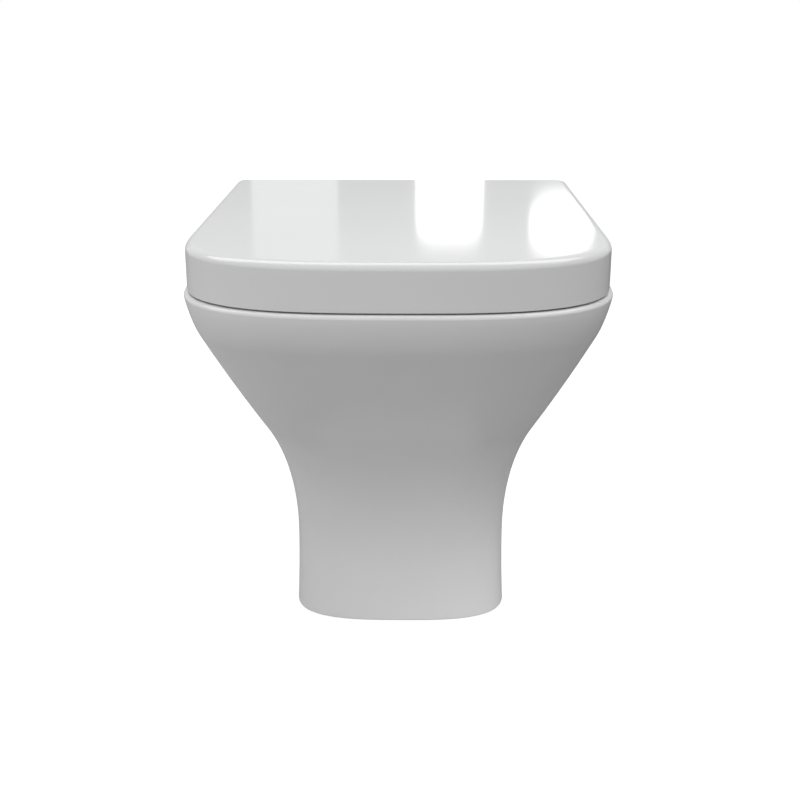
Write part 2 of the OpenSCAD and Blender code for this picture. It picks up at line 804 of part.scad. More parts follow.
lug_in_x = fixing_x - block_w / 2 - block_gap - lug_l;     // left end of the right inner lug
lug_out_x = fixing_x + block_w / 2 + block_gap;            // left end of the right outer lug

module seat_ring() {
    color(plastic) difference() {
        union() {
            difference() {
                loft(concat(
                    [for (a = [0:45:90])
                        seat_outer_ring(seat_under + seat_foot_r * (1 - cos(a)),
                                        seat_foot_r * (1 - sin(a)))],
                    [for (a = [0:18:90])
                        seat_outer_ring(seat_top - seat_edge_r * (1 - sin(a)),
                                        seat_edge_r * (1 - cos(a)))]));
                loft(concat(
                    [seat_hole_ring(seat_under - cut, 0)],
                    [for (a = [0:18:90])
                        seat_hole_ring(seat_top - seat_edge_r * (1 - sin(a)),
                                       seat_edge_r * (1 - cos(a)))],
                    [seat_hole_ring(seat_top + cut, seat_edge_r)]));
            }
            on_both_sides()
                lug(lug_out_x, lug_l, seat_back_y - seat_web, axis_z - lug_r + web_up,
                    axis_y - seat_back_y + seat_web,
                    seat_top - axis_z + lug_r - web_up - web_down);
        }
        at_axis() rod_x(lug_out_x - cut, bush_l + end_room + cut, bush_d / 2 + insert_gap);
        on_left() at_axis()
            rod_x(lug_out_x - cut, damper_l + end_room + cut, damper_d / 2 + insert_gap);
    }
}

// Bush with a running fit on the pin, its open end at x
module hinge_bush(x) {
    at_axis() translate([x, 0, 0]) rotate([0, 90, 0])
        tube(bush_l, bush_d / 2, pin_d / 2 + pin_clear);
}

// Damper with a blind hole for the pin, its open end at x, running l along dir
module damper(x, dir) {
    at_axis() translate([x, 0, 0]) rotate([0, 90 * dir, 0]) difference() {
        cylinder(h = damper_l, r = damper_d / 2);
        translate([0, 0, -cut]) cylinder(h = arm_l + end_room + cut, r = pin_d / 2 + pin_clear);
    }
}

module seat_bush() {
    color(nylon) hinge_bush(lug_out_x);
}

module seat_damper() {
    color(steel) on_left() damper(lug_out_x, 1);
}

// Four places on a curve drawn in from the lid's outline: two at its sides and two at its nose
module at_buffer_places(inset) {
    x = lid_w / 2 - inset;
    nose_x = x * pow(cos(nose_buffer_a), 2 / rim_power);
    nose_in = (rim_nose - inset / 2) * (1 - pow(sin(nose_buffer_a), 2 / rim_power));
    for (side = [-1, 1]) {
        translate([side * x, wall(side_buffer_from_wall), 0]) children();
        translate([side * nose_x, lid_nose_y + inset + nose_in, 0]) children();
    }
}

module seat_buffers() {
    color(rubber) at_buffer_places(seat_inset + buffer_edge + seat_buffer_d / 2)
        translate([0, 0, pan_h + rest_gap])
            cylinder(h = seat_gap - rest_gap, r = seat_buffer_d / 2);
}

module lid() {
    color(plastic) difference() {
        union() {
            loft(concat(
                [lid_ring(lid_ceiling, lid_t), lid_ring(lid_under, lid_t), lid_ring(lid_under, 0)],
                [for (a = [0:18:90])
                    lid_ring(lid_top - lid_edge_r * (1 - sin(a)), lid_edge_r * (1 - cos(a)))]));
            on_both_sides()
                lug(lug_in_x, lug_l, axis_y - lug_r, axis_z, 2 * lug_r,
                    lid_ceiling - axis_z + join);
        }
        lid_rear_relief();
        at_fixings() translate([-block_w / 2 - notch_gap, 0, lid_under - cut])
            cube([block_w + 2 * notch_gap, lid_back, lid_ceiling - lid_under + cut]);
        at_axis() rod_x(lug_in_x + lug_l - damper_l - end_room, damper_l + end_room + cut,
                        damper_d / 2 + insert_gap);
        on_left() at_axis() rod_x(lug_in_x + lug_l - bush_l - end_room, bush_l + end_room + cut,
                                  bush_d / 2 + insert_gap);
    }
}

// What the back of the lid leaves free so that it swings down past the deck
module lid_rear_relief() {
    translate([-lid_w / 2 - cut, axis_y, lid_under - cut]) difference() {
        cube([lid_w + 2 * cut, lid_back, axis_z - lid_under + cut]);
        translate([-cut, 0, axis_z - lid_under + cut]) rotate([0, 90, 0])
            cylinder(h = lid_w + 4 * cut, r = axis_h - sweep_gap);
    }
}

module lid_damper() {
    color(steel) damper(lug_in_x + lug_l, -1);
}

module lid_bush() {
    color(nylon) on_left() hinge_bush(lug_in_x + lug_l - bush_l);
}

module lid_buffers() {
    color(rubber) at_buffer_places(seat_inset + seat_band / 2)
        translate([0, 0, seat_top + rest_gap])
            cylinder(h = lid_ceiling - seat_top - rest_gap, r = lid_buffer_d / 2);
}

pan();
inlet_seal();
bracket_left();
bracket_right();
side_screws();
side_sleeves();
cover_caps();
fixing_studs();
fixing_bushes();
fixing_washers();
fixing_nuts();
hinge_gaskets();
hinge_base_left();
hinge_base_right();
hinge_block_left();
hinge_block_right();
hinge_pin_left();
hinge_pin_right();
release_button_left();
release_button_right();
seat_ring();
seat_buffers();
seat_damper();
seat_bush();
lid();
lid_buffers();
lid_damper();
lid_bush();
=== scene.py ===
"""Looks of the back to wall toilet.

The shape functions work in millimetres and the studio in metres, both in the frame's axes.
"""

import json
import math

import bmesh
import bpy
import numpy as np
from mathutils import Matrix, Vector


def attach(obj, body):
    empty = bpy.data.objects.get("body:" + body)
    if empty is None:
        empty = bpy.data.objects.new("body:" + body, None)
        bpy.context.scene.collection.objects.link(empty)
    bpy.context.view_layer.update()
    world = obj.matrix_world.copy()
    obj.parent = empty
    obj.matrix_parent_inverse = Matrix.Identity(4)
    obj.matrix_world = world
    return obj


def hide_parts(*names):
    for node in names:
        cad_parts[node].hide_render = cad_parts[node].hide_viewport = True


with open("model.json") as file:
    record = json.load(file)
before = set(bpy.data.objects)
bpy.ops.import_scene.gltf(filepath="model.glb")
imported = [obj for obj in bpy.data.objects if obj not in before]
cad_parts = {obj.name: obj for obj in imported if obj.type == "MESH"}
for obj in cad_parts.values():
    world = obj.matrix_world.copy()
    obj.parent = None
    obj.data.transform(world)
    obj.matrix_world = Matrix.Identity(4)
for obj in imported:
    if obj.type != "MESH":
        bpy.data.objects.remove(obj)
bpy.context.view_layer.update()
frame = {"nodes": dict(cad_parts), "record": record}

MM = 0.001

# Sizes in millimetres and angles in degrees. They are the source's, but for RIM_EDGE_R,
# LID_EDGE_R, LID_DROP, FOOT_POWER, NOSE_BLEND and the SIDE_ and NOSE_ curves, which were fitted
# to the outline again after the solids.
PAN_W, PAN_H, PAN_L = 365.0, 397.0, 530.0
FOOT_W, FOOT_SETBACK, FOOT_FLARE, FLARE_H = 220.0, 242.0, 2.5, 100.0
SKIRT_T, DECK_T = 13.0, 16.0
RIM_EDGE_R, RIM_NOSE, FOOT_NOSE = 4.0, 126.0, 67.0
SIDE_START, SIDE_HOLLOW_R, SIDE_ROUND_R = 88.4, 485.2, 21.5
NOSE_START, NOSE_HOLLOW_R, NOSE_ROUND_R = 56.2, 230.6, 49.5
RIM_POWER, FOOT_POWER, NOSE_BLEND = 3.0, 2.99, 2.46
RIM_BAND, OPENING_EDGE_R, OPENING_BACK = 32.0, 5.0, 178.0
LIP_H, CHANNEL_IN, SHELF_H, SHELF_W = 20.0, 5.0, 54.0, 272.0
SUMP_W, BOWL_T, FRONT_T, DIP_FROM_WALL = 74.0, 12.0, 20.0, 238.0
SUMP_EDGE_R, BOWL_CURVE, BACK_CURVE = 14.0, 1.4, 0.85
SUMP_POWER, OPENING_POWER = 2.2, 2.6
OUTLET_H, OUTLET_D, OUTLET_BORE, OUTLET_END, OUTLET_LEN = 185.0, 102.0, 82.0, 30.0, 36.0
TRAP_BORE, TRAP_T, TRAP_BEND_R = 66.0, 11.0, 48.0
TRAP_ENTRY_H, TRAP_RISE, TRAP_FALL = 103.0, 80.0, 50.0
TRAP_BEHIND_DIP, TRAP_LEAD, TRAP_TAIL = 4.0, 22.0, 6.0
TRAP_WEB_W, TRAP_WEB_L = 50.0, 30.0
INLET_H, INLET_BORE, INLET_DEPTH, INLET_DRAFT = 340.0, 56.0, 40.0, 0.6
INLET_PASSAGE, INLET_T, INLET_END, INLET_WEB_W = 40.0, 12.0, 44.0, 44.0
FLUSH_PIPE_D, SEAL_FLANGE, SEAL_FLANGE_T, SEAL_SHORT = 44.5, 5.0, 4.0, 6.0
LID_W, LID_H, LID_GAP, LID_SETBACK, LID_BACK = 360.0, 39.0, 2.0, 3.0, 95.0
LID_T, LID_TOP_T, LID_EDGE_R, LID_CORNER_R, LID_DROP = 4.0, 5.0, 6.5, 12.0, 0.8
SEAT_SIDE_GAP, SEAT_T, SEAT_GAP, SEAT_EDGE_R = 4.0, 20.0, 5.0, 7.0
SEAT_BAND, SEAT_HOLE_BACK, SEAT_HOLE_POWER, SEAT_FOOT_R = 60.0, 192.0, 2.4, 2.0
SEAT_HINGE_GAP, SEAT_WEB, WEB_UP, WEB_DOWN = 1.8, 14.0, 1.0, 0.5
FIXING_X, AXIS_H, AXIS_IN, LUG_R, LUG_L = 77.5, 21.0, 11.2, 10.5, 50.0
PIN_L, BLOCK_W, BLOCK_GAP = 76.0, 28.0, 0.8
DAMPER_D, DAMPER_L, BUSH_D, INSERT_GAP, END_ROOM = 16.0, 46.0, 13.0, 0.05, 2.0
SWEEP_GAP, NOTCH_GAP, SLEEVE_GAP = 2.0, 3.0, 0.15
FIXING_HOLE_D, STUD_D, STUD_DROP, POST_TOP = 14.0, 8.0, 34.0, 412.4
SIDE_SCREW_H, SLEEVE_D, BRACKET_FROM_WALL = 30.0, 10.0, 112.0
NUT_D, NUT_H, WING_SPAN, WING_T, WING_SHARE, WASHER_T = 18.0, 14.0, 40.0, 4.0, 0.75, 3.0
GASKET_T, BASE_T, POST_D, BUTTON_FLOOR, BUTTON_T = 1.0, 2.0, 9.0, 2.4, 4.6
BUFFER_D, BUFFER_EDGE, REST_GAP = 14.0, 3.0, 0.3
BUFFER_FROM_WALL, NOSE_BUFFER_A = 250.0, 62.0

BACK_Y, NOSE_Y = PAN_L / 2, -PAN_L / 2
RIM_EDGE_Z = PAN_H - RIM_EDGE_R
SHELF_Z = PAN_H - SHELF_H
RIM_UNDER = SHELF_Z + 2.0
DECK_UNDER = PAN_H - DECK_T
SUMP_Z = TRAP_ENTRY_H - TRAP_BORE / 2
WATER_Z = OUTLET_H + 2 * TRAP_BEND_R * (1 - math.cos(math.radians(TRAP_FALL))) - TRAP_BORE / 2
OPENING_W = PAN_W - 2 * RIM_BAND
AXIS_Y = BACK_Y - LID_BACK - LID_T - AXIS_IN
AXIS_Z = PAN_H + AXIS_H
LID_UNDER = PAN_H + LID_GAP
LID_TOP = LID_UNDER + LID_H
LID_CEILING = LID_TOP - LID_TOP_T
SEAT_UNDER = PAN_H + SEAT_GAP
SEAT_TOP = SEAT_UNDER + SEAT_T
LID_NOSE_Y = NOSE_Y + LID_SETBACK
SEAT_INSET = LID_T + SEAT_SIDE_GAP
SEAT_BACK_Y = AXIS_Y - LUG_R - SEAT_HINGE_GAP
BUSH_L = (PIN_L - BLOCK_W) / 2
LUG_IN_X = FIXING_X - BLOCK_W / 2 - BLOCK_GAP - LUG_L
LUG_OUT_X = FIXING_X + BLOCK_W / 2 + BLOCK_GAP

# How far a cutting tool reaches past what it cuts, and how near points have to be to be welded
CUT, WELD = 1.0, 0.002
# Width of the flat strips that a rounded edge starts and ends with
SEAM = 1.5
# Radius of the pan's upright rear edges and of its foot, and the rim's rounding at the back
REAR_R, FOOT_R, REAR_ROUNDING = 3.0, 2.0, 1.5
# Least radius of a corner, which keeps its points apart
LEAST_R = 0.05

# Steps round an outline, points of the fine curve that the nose is measured on, and steps
# round a rod
NOSE_STEPS, SIDE_STEPS, BACK_STEPS, CORNER_STEPS = 176, 44, 36, 5
FINE, ROUND_STEPS = 4000, 64
# Heights of the skin's rings: from, to and steps, closest where it curves most
SKIN_RINGS = ((6, 90, 12), (95, 345, 50), (347.5, 390, 17))


def wall(d):
    return BACK_Y - d


def mix(a, b, t):
    return a + (b - a) * t


def steps(a, b, n):
    return [mix(a, b, i / n) for i in range(n + 1)]


def rounded(r, count, first, last):
    """(inwards, down) along a quarter of an edge of radius r, from angle first to last."""
    return [(r * (1 - math.cos(math.radians(a))), r * (1 - math.sin(math.radians(a))))
            for a in steps(first, last, count)]


# The pan's skin

def lean(shift, rise, radii):
    """Angle from upright of the straight stretch between the two arcs of an S."""
    return math.asin(radii / math.hypot(rise, shift - radii)) + math.atan2(shift - radii, rise)


def s_curve(z, low, high, shift, hollow_r, round_r):
    """Outward shift at height z of an S: a hollow arc, a straight stretch and a round arc."""
    a = lean(shift, high - low, hollow_r + round_r)
    line_low = low + hollow_r * math.sin(a)
    line_high = high - round_r * math.sin(a)
    if z <= low:
        return 0.0
    if z < line_low:
        return hollow_r - math.sqrt(hollow_r ** 2 - (z - low) ** 2)
    if z < line_high:
        return hollow_r * (1 - math.cos(a)) + (z - line_low) * math.tan(a)
    if z < high:
        return shift - round_r + math.sqrt(round_r ** 2 - (high - z) ** 2)
    return shift


def edge_gain(r):
    """What an arc of radius r still gains sideways over the height of the rim's edge."""
    return r - math.sqrt(r ** 2 - RIM_EDGE_R ** 2)


SPREAD = (PAN_W - FOOT_W) / 2


def flare(z):
    return FOOT_FLARE * max(0.0, 1 - z / FLARE_H) ** 2


def side_s(z):
    return s_curve(z, SIDE_START, PAN_H, SPREAD + edge_gain(SIDE_ROUND_R),
                   SIDE_HOLLOW_R, SIDE_ROUND_R)


def nose_s(z):
    return s_curve(z, NOSE_START, PAN_H, FOOT_SETBACK + edge_gain(NOSE_ROUND_R),
                   NOSE_HOLLOW_R, NOSE_ROUND_R)


def skin_x(z):
    return FOOT_W / 2 + side_s(z) + flare(z)


def skin_nose_y(z):
    return NOSE_Y + FOOT_SETBACK - nose_s(z) - flare(z)


def skin_share(z):
    return min(1.0, side_s(z) / SPREAD)


def edge_in(z):
    if z <= RIM_EDGE_Z:
        return 0.0
    return RIM_EDGE_R - math.sqrt(max(0.0, RIM_EDGE_R ** 2 - (z - RIM_EDGE_Z) ** 2))


def nose_curve(half_w, tip_y, depth, power, count):
    """Superellipse from its left end round the nose to its right end, in even steps."""
    a = np.linspace(0, math.pi, FINE)
    c, s = np.cos(a), np.clip(np.sin(a), 0, 1)
    x = -half_w * np.sign(c) * np.abs(c) ** (2 / power)
    y = tip_y + depth * (1 - s ** (2 / power))
    along = np.concatenate([[0], np.cumsum(np.hypot(np.diff(x), np.diff(y)))])
    at = np.linspace(0, along[-1], count + 1)
    return np.stack([np.interp(at, along, x), np.interp(at, along, y)], 1)


def arc(cx, cy, r, start, end, count):
    a = np.radians(np.linspace(start, end, count + 1))
    return np.stack([cx + r * np.cos(a), cy + r * np.sin(a)], 1)


def d_outline(x, tip_y, depth, power, rear_y, corner_r):
    """Closed D, anticlockwise from above, from its left rear corner, with round rear corners."""
    r = max(corner_r, LEAST_R)
    nose = nose_curve(x, tip_y, depth, power, NOSE_STEPS)
    left = np.stack([np.full(SIDE_STEPS, -x),
                     np.linspace(rear_y - r, tip_y + depth, SIDE_STEPS + 1)[:-1]], 1)
    right = left[::-1] * [-1, 1]
    rear = np.stack([np.linspace(x - r, -x + r, BACK_STEPS + 1)[1:],
                     np.full(BACK_STEPS, rear_y)], 1)
    return np.concatenate([arc(-x + r, rear_y - r, r, 90, 180, CORNER_STEPS)[1:-1], left, nose,
                           right, arc(x - r, rear_y - r, r, 0, 90, CORNER_STEPS)[1:], rear])


def lift(outline, z):
    return np.column_stack([outline, np.full(len(outline), z)])


def skin_ring(z, inset, end_y, corner_r, at_z=None):
    """Outline of the skin at height z, drawn in by inset, and lifted to at_z if that is given."""
    share = skin_share(z)
    depth = mix(FOOT_NOSE, RIM_NOSE, share ** NOSE_BLEND)
    power = mix(FOOT_POWER, RIM_POWER, share)
    outline = d_outline(skin_x(z) - inset, skin_nose_y(z) + inset, depth - inset / 2, power,
                        end_y, corner_r)
    return lift(outline, z if at_z is None else at_z)


# The bowl

def polar_ring(z, half_w, front_y, rear_y, power, angles):
    """Closed superellipse with a point at each polar angle about its own middle."""
    half_l, middle = (rear_y - front_y) / 2, (rear_y + front_y) / 2
    c, s = np.cos(angles), np.sin(angles)
    r = (np.abs(c / half_w) ** power + np.abs(s / half_l) ** power) ** (-1 / power)
    return np.column_stack([r * c, middle + r * s, np.full(len(angles), z)])


def opening_front(z, grow):
    return max(NOSE_Y + RIM_BAND - grow, skin_nose_y(min(z, RIM_EDGE_Z)) + FRONT_T)


def opening_ring(z, grow, angles):
    return polar_ring(z, OPENING_W / 2 + grow, opening_front(z, grow),
                      wall(OPENING_BACK) + grow, OPENING_POWER, angles)


def basin_ring(z, grow, angles):
    """The bowl at height z, from the sump's rounded floor to the ledge, or its outside by grow."""
    t = (z - SUMP_Z) / (SHELF_Z - SUMP_Z)
    up = max(0.0, (z - WATER_Z) / (SHELF_Z - WATER_Z))
    low = max(0.0, SUMP_Z + SUMP_EDGE_R - z)
    edge_r = SUMP_EDGE_R + grow
    out = grow - edge_r + math.sqrt(max(0.0, edge_r ** 2 - low ** 2))
    half_w = mix(SUMP_W, SHELF_W, max(0.0, t) ** BOWL_CURVE) / 2
    rear = wall(mix(DIP_FROM_WALL, OPENING_BACK + RIM_BAND / 4, up ** BACK_CURVE))
    return polar_ring(z, half_w + out, skin_nose_y(z) + FRONT_T - out, rear + out,
                      mix(SUMP_POWER, OPENING_POWER, t), angles)


def soften(rings, count=4):
    """Rings along a smooth curve that the given rings pull, ring by ring, from first to last."""
    middles = [(a + b) / 2 for a, b in zip(rings, rings[1:])]
    out = [rings[0], middles[0]]
    for k in range(1, len(rings) - 1):
        for t in steps(0, 1, count)[1:]:
            out.append(middles[k - 1] * (1 - t) ** 2 + 2 * t * (1 - t) * rings[k]
                       + middles[k] * t ** 2)
    return out + [rings[-1]]


# Meshes

# Materials of every mesh that the pan is made or cut from, by index
CUT_MATERIALS = []
GLAZED, BARE = 0, 1
# Edges that turn by more than this many degrees stay crisp
SMOOTH_ANGLE = 32


def link(name, mesh):
    made = bpy.data.objects.new(name, mesh)
    bpy.context.scene.collection.objects.link(made)
    return made


def outward(mesh):
    bm = bmesh.new()
    bm.from_mesh(mesh)
    bmesh.ops.recalc_face_normals(bm, faces=bm.faces)
    bm.to_mesh(mesh)
    bm.free()


def loft(name, rings, closed=False, index=0):
    """Solid through rings of points, with flat ends or closed on itself.

    The index is that of its faces' material among CUT_MATERIALS.
    """
    n, count = len(rings[0]), len(rings)
    points = np.concatenate(rings) * MM
    faces = []
    for k in range(count if closed else count - 1):
        a, b = k * n, (k + 1) % count * n
        faces += [(a + i, a + (i + 1) % n, b + (i + 1) % n, b + i) for i in range(n)]
    if not closed:
        faces += [tuple(range(n - 1, -1, -1)), tuple((count - 1) * n + i for i in range(n))]
    mesh = bpy.data.meshes.new(name)
    mesh.from_pydata(points.tolist(), [], faces)
    mesh.update()
    outward(mesh)
    mesh.polygons.foreach_set("material_index", [index] * len(mesh.polygons))
    for slot_material in CUT_MATERIALS:
        mesh.materials.append(slot_material)
    return link(name, mesh)


def hoop(middle, side, up, r, count):
    """Ring of points about middle, in the plane of side and up."""
    a = np.linspace(0, 2 * math.pi, count, endpoint=False)[:, None]
    return np.array(middle) + r * (np.cos(a) * side + np.sin(a) * up)


def turned(name, profile, place, axis, count=ROUND_STEPS, closed=False, index=0):
    """Solid of revolution: profile is (along, radius) pairs, from a place along an axis."""
    side, up = {"x": ((0, 1, 0), (0, 0, 1)), "y": ((0, 0, 1), (1, 0, 0)),
                "z": ((1, 0, 0), (0, 1, 0))}[axis]
    forward = np.cross(side, up)
    rings = [hoop(np.array(place) + forward * h, side, up, r, count) for h, r in profile]
    return loft(name, rings, closed, index)


def rod(place, axis, length, r, end_r=None, index=0):
    """A round rod, or a cone where its end has a radius of its own."""
    return turned("rod", [(0, r), (length, r if end_r is None else end_r)], place, axis,
                  index=index)


def block(low, high, index=0):
    x0, y0, z0 = low
    x1, y1, z1 = high
    square = np.array([[x0, y0], [x1, y0], [x1, y1], [x0, y1]], float)
    return loft("block", [lift(square, z0), lift(square, z1)], index=index)


def combine(target, tools, operation):
    """Joins the tools to the target or cuts them from it, and removes the tools."""
    for tool in tools:
        step = target.modifiers.new("step", "BOOLEAN")
        step.object, step.operation, step.solver = tool, operation, "MANIFOLD"
    shaped = bpy.data.meshes.new_from_object(
        target.evaluated_get(bpy.context.evaluated_depsgraph_get()))
    target.modifiers.clear()
    old, target.data = target.data, shaped
    bpy.data.meshes.remove(old)
    for tool in tools:
        bpy.data.meshes.remove(tool.data)
    bm = bmesh.new()
    bm.from_mesh(shaped)
    bmesh.ops.remove_doubles(bm, verts=bm.verts, dist=WELD * MM)
    bmesh.ops.dissolve_degenerate(bm, edges=bm.edges, dist=WELD * MM)
    bm.to_mesh(shaped)
    bm.free()
    return target


def finish_mesh(piece, angle=SMOOTH_ANGLE):
    """Smooth shading with crisp edges, and even normals on the flats."""
    piece.data.shade_smooth()
    piece.data.set_sharp_from_angle(angle=math.radians(angle))
    even = piece.modifiers.new("even", "WEIGHTED_NORMAL")
    even.keep_sharp = True
    return piece


def paint(piece, finish):
    piece.data.materials.clear()
    piece.data.materials.append(finish)


# Materials

def material(name):
    made = bpy.data.materials.new(name)
    made.use_nodes = True
    tree = made.node_tree
    return made, tree, tree.nodes["Principled BSDF"]


def noise(tree, scale, detail=3.0, stretch=(1, 1, 1)):
    """Noise by place on the object, in features per metre."""
    at = tree.nodes.new("ShaderNodeTexCoord")
    turn = tree.nodes.new("ShaderNodeMapping")
    turn.inputs["Scale"].default_value = stretch
    made = tree.nodes.new("ShaderNodeTexNoise")
    made.inputs["Scale"].default_value = scale
    made.inputs["Detail"].default_value = detail
    tree.links.new(at.outputs["Object"], turn.inputs["Vector"])
    tree.links.new(turn.outputs["Vector"], made.inputs["Vector"])
    return made.outputs["Fac"]


def ramp(tree, source, low, high):
    """A colour from low to high over the middle of a noise's range."""
    made = tree.nodes.new("ShaderNodeValToRGB")
    first, last = made.color_ramp.elements
    first.position, last.position = 0.3, 0.7
    first.color, last.color = (*low, 1), (*high, 1)
    tree.links.new(source, made.inputs["Fac"])
    return made.outputs["Color"]


def map_range(tree, source, start, end, low, high):
    """A value from low to high while the source goes from start to end, and level past that."""
    made = tree.nodes.new("ShaderNodeMapRange")
    for socket, value in zip(("From Min", "From Max", "To Min", "To Max"),
                             (start, end, low, high)):
        made.inputs[socket].default_value = value
    tree.links.new(source, made.inputs["Value"])
    return made.outputs["Result"]


def bump(tree, shader, source, depth):
    made = tree.nodes.new("ShaderNodeBump")
    made.inputs["Distance"].default_value = depth
    made.inputs["Strength"].default_value = 1.0
    tree.links.new(source, made.inputs["Height"])
    tree.links.new(made.outputs["Normal"], shader.inputs["Normal"])


def surface(name, low, high, rough, tone_scale, bump_scale, bump_depth, metallic=0.0,
            ior=1.5, stretch=(1, 1, 1), detail=3.0):
    """A material whose colour and roughness drift over the surface, with a fine relief."""
    made, tree, shader = material(name)
    tone = noise(tree, tone_scale, detail, stretch)
    tree.links.new(ramp(tree, tone, low, high), shader.inputs["Base Color"])
    tree.links.new(map_range(tree, tone, 0, 1, *rough), shader.inputs["Roughness"])
    shader.inputs["Metallic"].default_value = metallic
    shader.inputs["IOR"].default_value = ior
    bump(tree, shader, noise(tree, bump_scale, detail, stretch), bump_depth)
    return made


glaze = surface("glazed_ceramic", (0.814, 0.816, 0.812), (0.834, 0.836, 0.833), (0.20, 0.26),
                9, 60, 0.00002, ior=1.52)
bisque = surface("bare_ceramic", (0.70, 0.68, 0.63), (0.78, 0.765, 0.72), (0.55, 0.8),
                 40, 900, 0.00012, detail=6.0)
gloss = surface("gloss_plastic", (0.822, 0.824, 0.824), (0.838, 0.84, 0.84), (0.07, 0.1),
                7, 45, 0.000004)
satin = surface("satin_plastic", (0.80, 0.80, 0.795), (0.83, 0.83, 0.825), (0.28, 0.36),
                30, 1500, 0.00002)
chrome = surface("polished_chrome", (0.74, 0.75, 0.76), (0.80, 0.81, 0.82), (0.06, 0.14),
                 60, 200, 0.000004, metallic=1.0)
steel = surface("brushed_steel", (0.50, 0.50, 0.505), (0.60, 0.60, 0.61), (0.25, 0.42),
                120, 900, 0.00002, metallic=1.0, stretch=(0.08, 1, 1), detail=5.0)
nylon = surface("natural_nylon", (0.74, 0.72, 0.66), (0.80, 0.785, 0.73), (0.4, 0.55),
                60, 700, 0.00004)
rubber = surface("grey_rubber", (0.085, 0.088, 0.092), (0.12, 0.123, 0.128), (0.6, 0.8),
                 80, 1200, 0.00005, detail=5.0)
CUT_MATERIALS[:] = [glaze, bisque]


# The pan: outside, rim, bowl and sump in one skin, less the hollow, the trap and the holes

# How far the ledge's soft edge goes down into the bowl
LEDGE_DOWN = 8
# Steps of the trap's three bends
RISE_STEPS, CROWN_STEPS, FALL_STEPS = 14, 24, 12
# How far the inlet's outside and its passage start in front of the opening's back
INLET_REACH, PASSAGE_REACH = 10, 20
# Faces this near the floor or the back have no glaze
BARE_STRIP = 0.3


def skin_rings():
    """From the flat under the foot, up the skin and round the rim's edge to its flat top."""
    rings = [skin_ring(0, FOOT_R + SEAM, BACK_Y, REAR_R)]
    rings += [skin_ring(up, inwards, BACK_Y, REAR_R) for up, inwards in rounded(FOOT_R, 4, 0, 90)]
    for stretch in SKIN_RINGS:
        rings += [skin_ring(z, 0, BACK_Y, REAR_R) for z in steps(*stretch)]
    for a in steps(0, 90, 10)[1:]:
        z = RIM_EDGE_Z + RIM_EDGE_R * math.sin(math.radians(a))
        inset = edge_in(z)
        rings.append(skin_ring(z, inset, BACK_Y - min(inset, REAR_ROUNDING), REAR_R))
    rings.append(skin_ring(PAN_H, RIM_EDGE_R + SEAM, BACK_Y - REAR_ROUNDING - SEAM, REAR_R))
    return rings


def bowl_rings(angles):
    """From the rim's flat top, round the opening's edge, the channel and the bowl to the sump."""
    rings = [opening_ring(PAN_H, OPENING_EDGE_R + SEAM, angles)]
    rings += [opening_ring(PAN_H - down, grow, angles)
              for grow, down in rounded(OPENING_EDGE_R, 8, 90, 0)]
    lip_z = PAN_H - LIP_H
    channel = [opening_ring(lip_z + up, grow, angles)
               for up, grow in ((6, 0), (2, 0), (-1, CHANNEL_IN), (-8, CHANNEL_IN))]
    channel += [opening_ring(SHELF_Z + up, CHANNEL_IN, angles) for up in (8, 2)]
    hollow, ledge = channel[-1], basin_ring(SHELF_Z, 0, angles)
    channel += [mix(hollow, ledge, share) for share in (0.5, 0.85)] + [ledge]
    channel += [basin_ring(SHELF_Z - down, 0, angles) for down in (4, LEDGE_DOWN)]
    rings += soften(channel)
    low = SUMP_Z + SUMP_EDGE_R
    rings += [basin_ring(z, 0, angles) for z in steps(SHELF_Z - LEDGE_DOWN, low, 56)[1:]]
    rings += [basin_ring(low - SUMP_EDGE_R * math.sin(math.radians(a)), 0, angles)
              for a in steps(0, 90, 6)[1:]]
    bottom = rings[-1]
    return rings + [mix(bottom, bottom.mean(0), 0.3)]


def pan_rings():
    """The skin's rings and then the bowl's, which have a point for each point of the skin's."""
    outer = skin_rings()
    top = outer[-1]
    middle_y = (opening_front(RIM_EDGE_Z, 0) + wall(OPENING_BACK)) / 2
    return outer + bowl_rings(np.arctan2(top[:, 1] - middle_y, top[:, 0]))


def bend(d, z, start, end, count):
    """Points of a bend: distance from the wall, height and heading, in the trap's plane."""
    k = 1 if end > start else -1
    out = []
    for h in steps(start, end, count)[1:]:
        a, b = math.radians(start), math.radians(h)
        out.append((d - k * TRAP_BEND_R * (math.sin(b) - math.sin(a)),
                    z + k * TRAP_BEND_R * (math.cos(a) - math.cos(b)), h))
    return out


def trap_path():
    """Points of the trap's middle line, as in bend, from the sump to the outlet."""
    start = DIP_FROM_WALL - TRAP_BEHIND_DIP
    cos, sin, rad = math.cos, math.sin, math.radians
    leg = (OUTLET_H - TRAP_ENTRY_H
           - 2 * TRAP_BEND_R * (cos(rad(TRAP_FALL)) - cos(rad(TRAP_RISE)))) / sin(rad(TRAP_RISE))
    rising = bend(start, TRAP_ENTRY_H, 0, TRAP_RISE, RISE_STEPS)
    top = (rising[-1][0] - leg * cos(rad(TRAP_RISE)), rising[-1][1] + leg * sin(rad(TRAP_RISE)))
    crown = bend(*top, TRAP_RISE, -TRAP_FALL, CROWN_STEPS)
    falling = bend(crown[-1][0], crown[-1][1], -TRAP_FALL, 0, FALL_STEPS)
    end = (falling[-1][0] - TRAP_TAIL, OUTLET_H, 0)
    return ([(start + TRAP_LEAD, TRAP_ENTRY_H, 0), (start, TRAP_ENTRY_H, 0)] + rising
            + [(*top, TRAP_RISE)] + crown + falling + [end])


def trap_tube(r, index):
    rings = []
    for d, z, heading in trap_path():
        a = math.radians(heading)
        rings.append(hoop((0, wall(d), z), (-1, 0, 0), (0, -math.sin(a), math.cos(a)), r,
                          ROUND_STEPS))
    return loft("trap", rings, index=index)


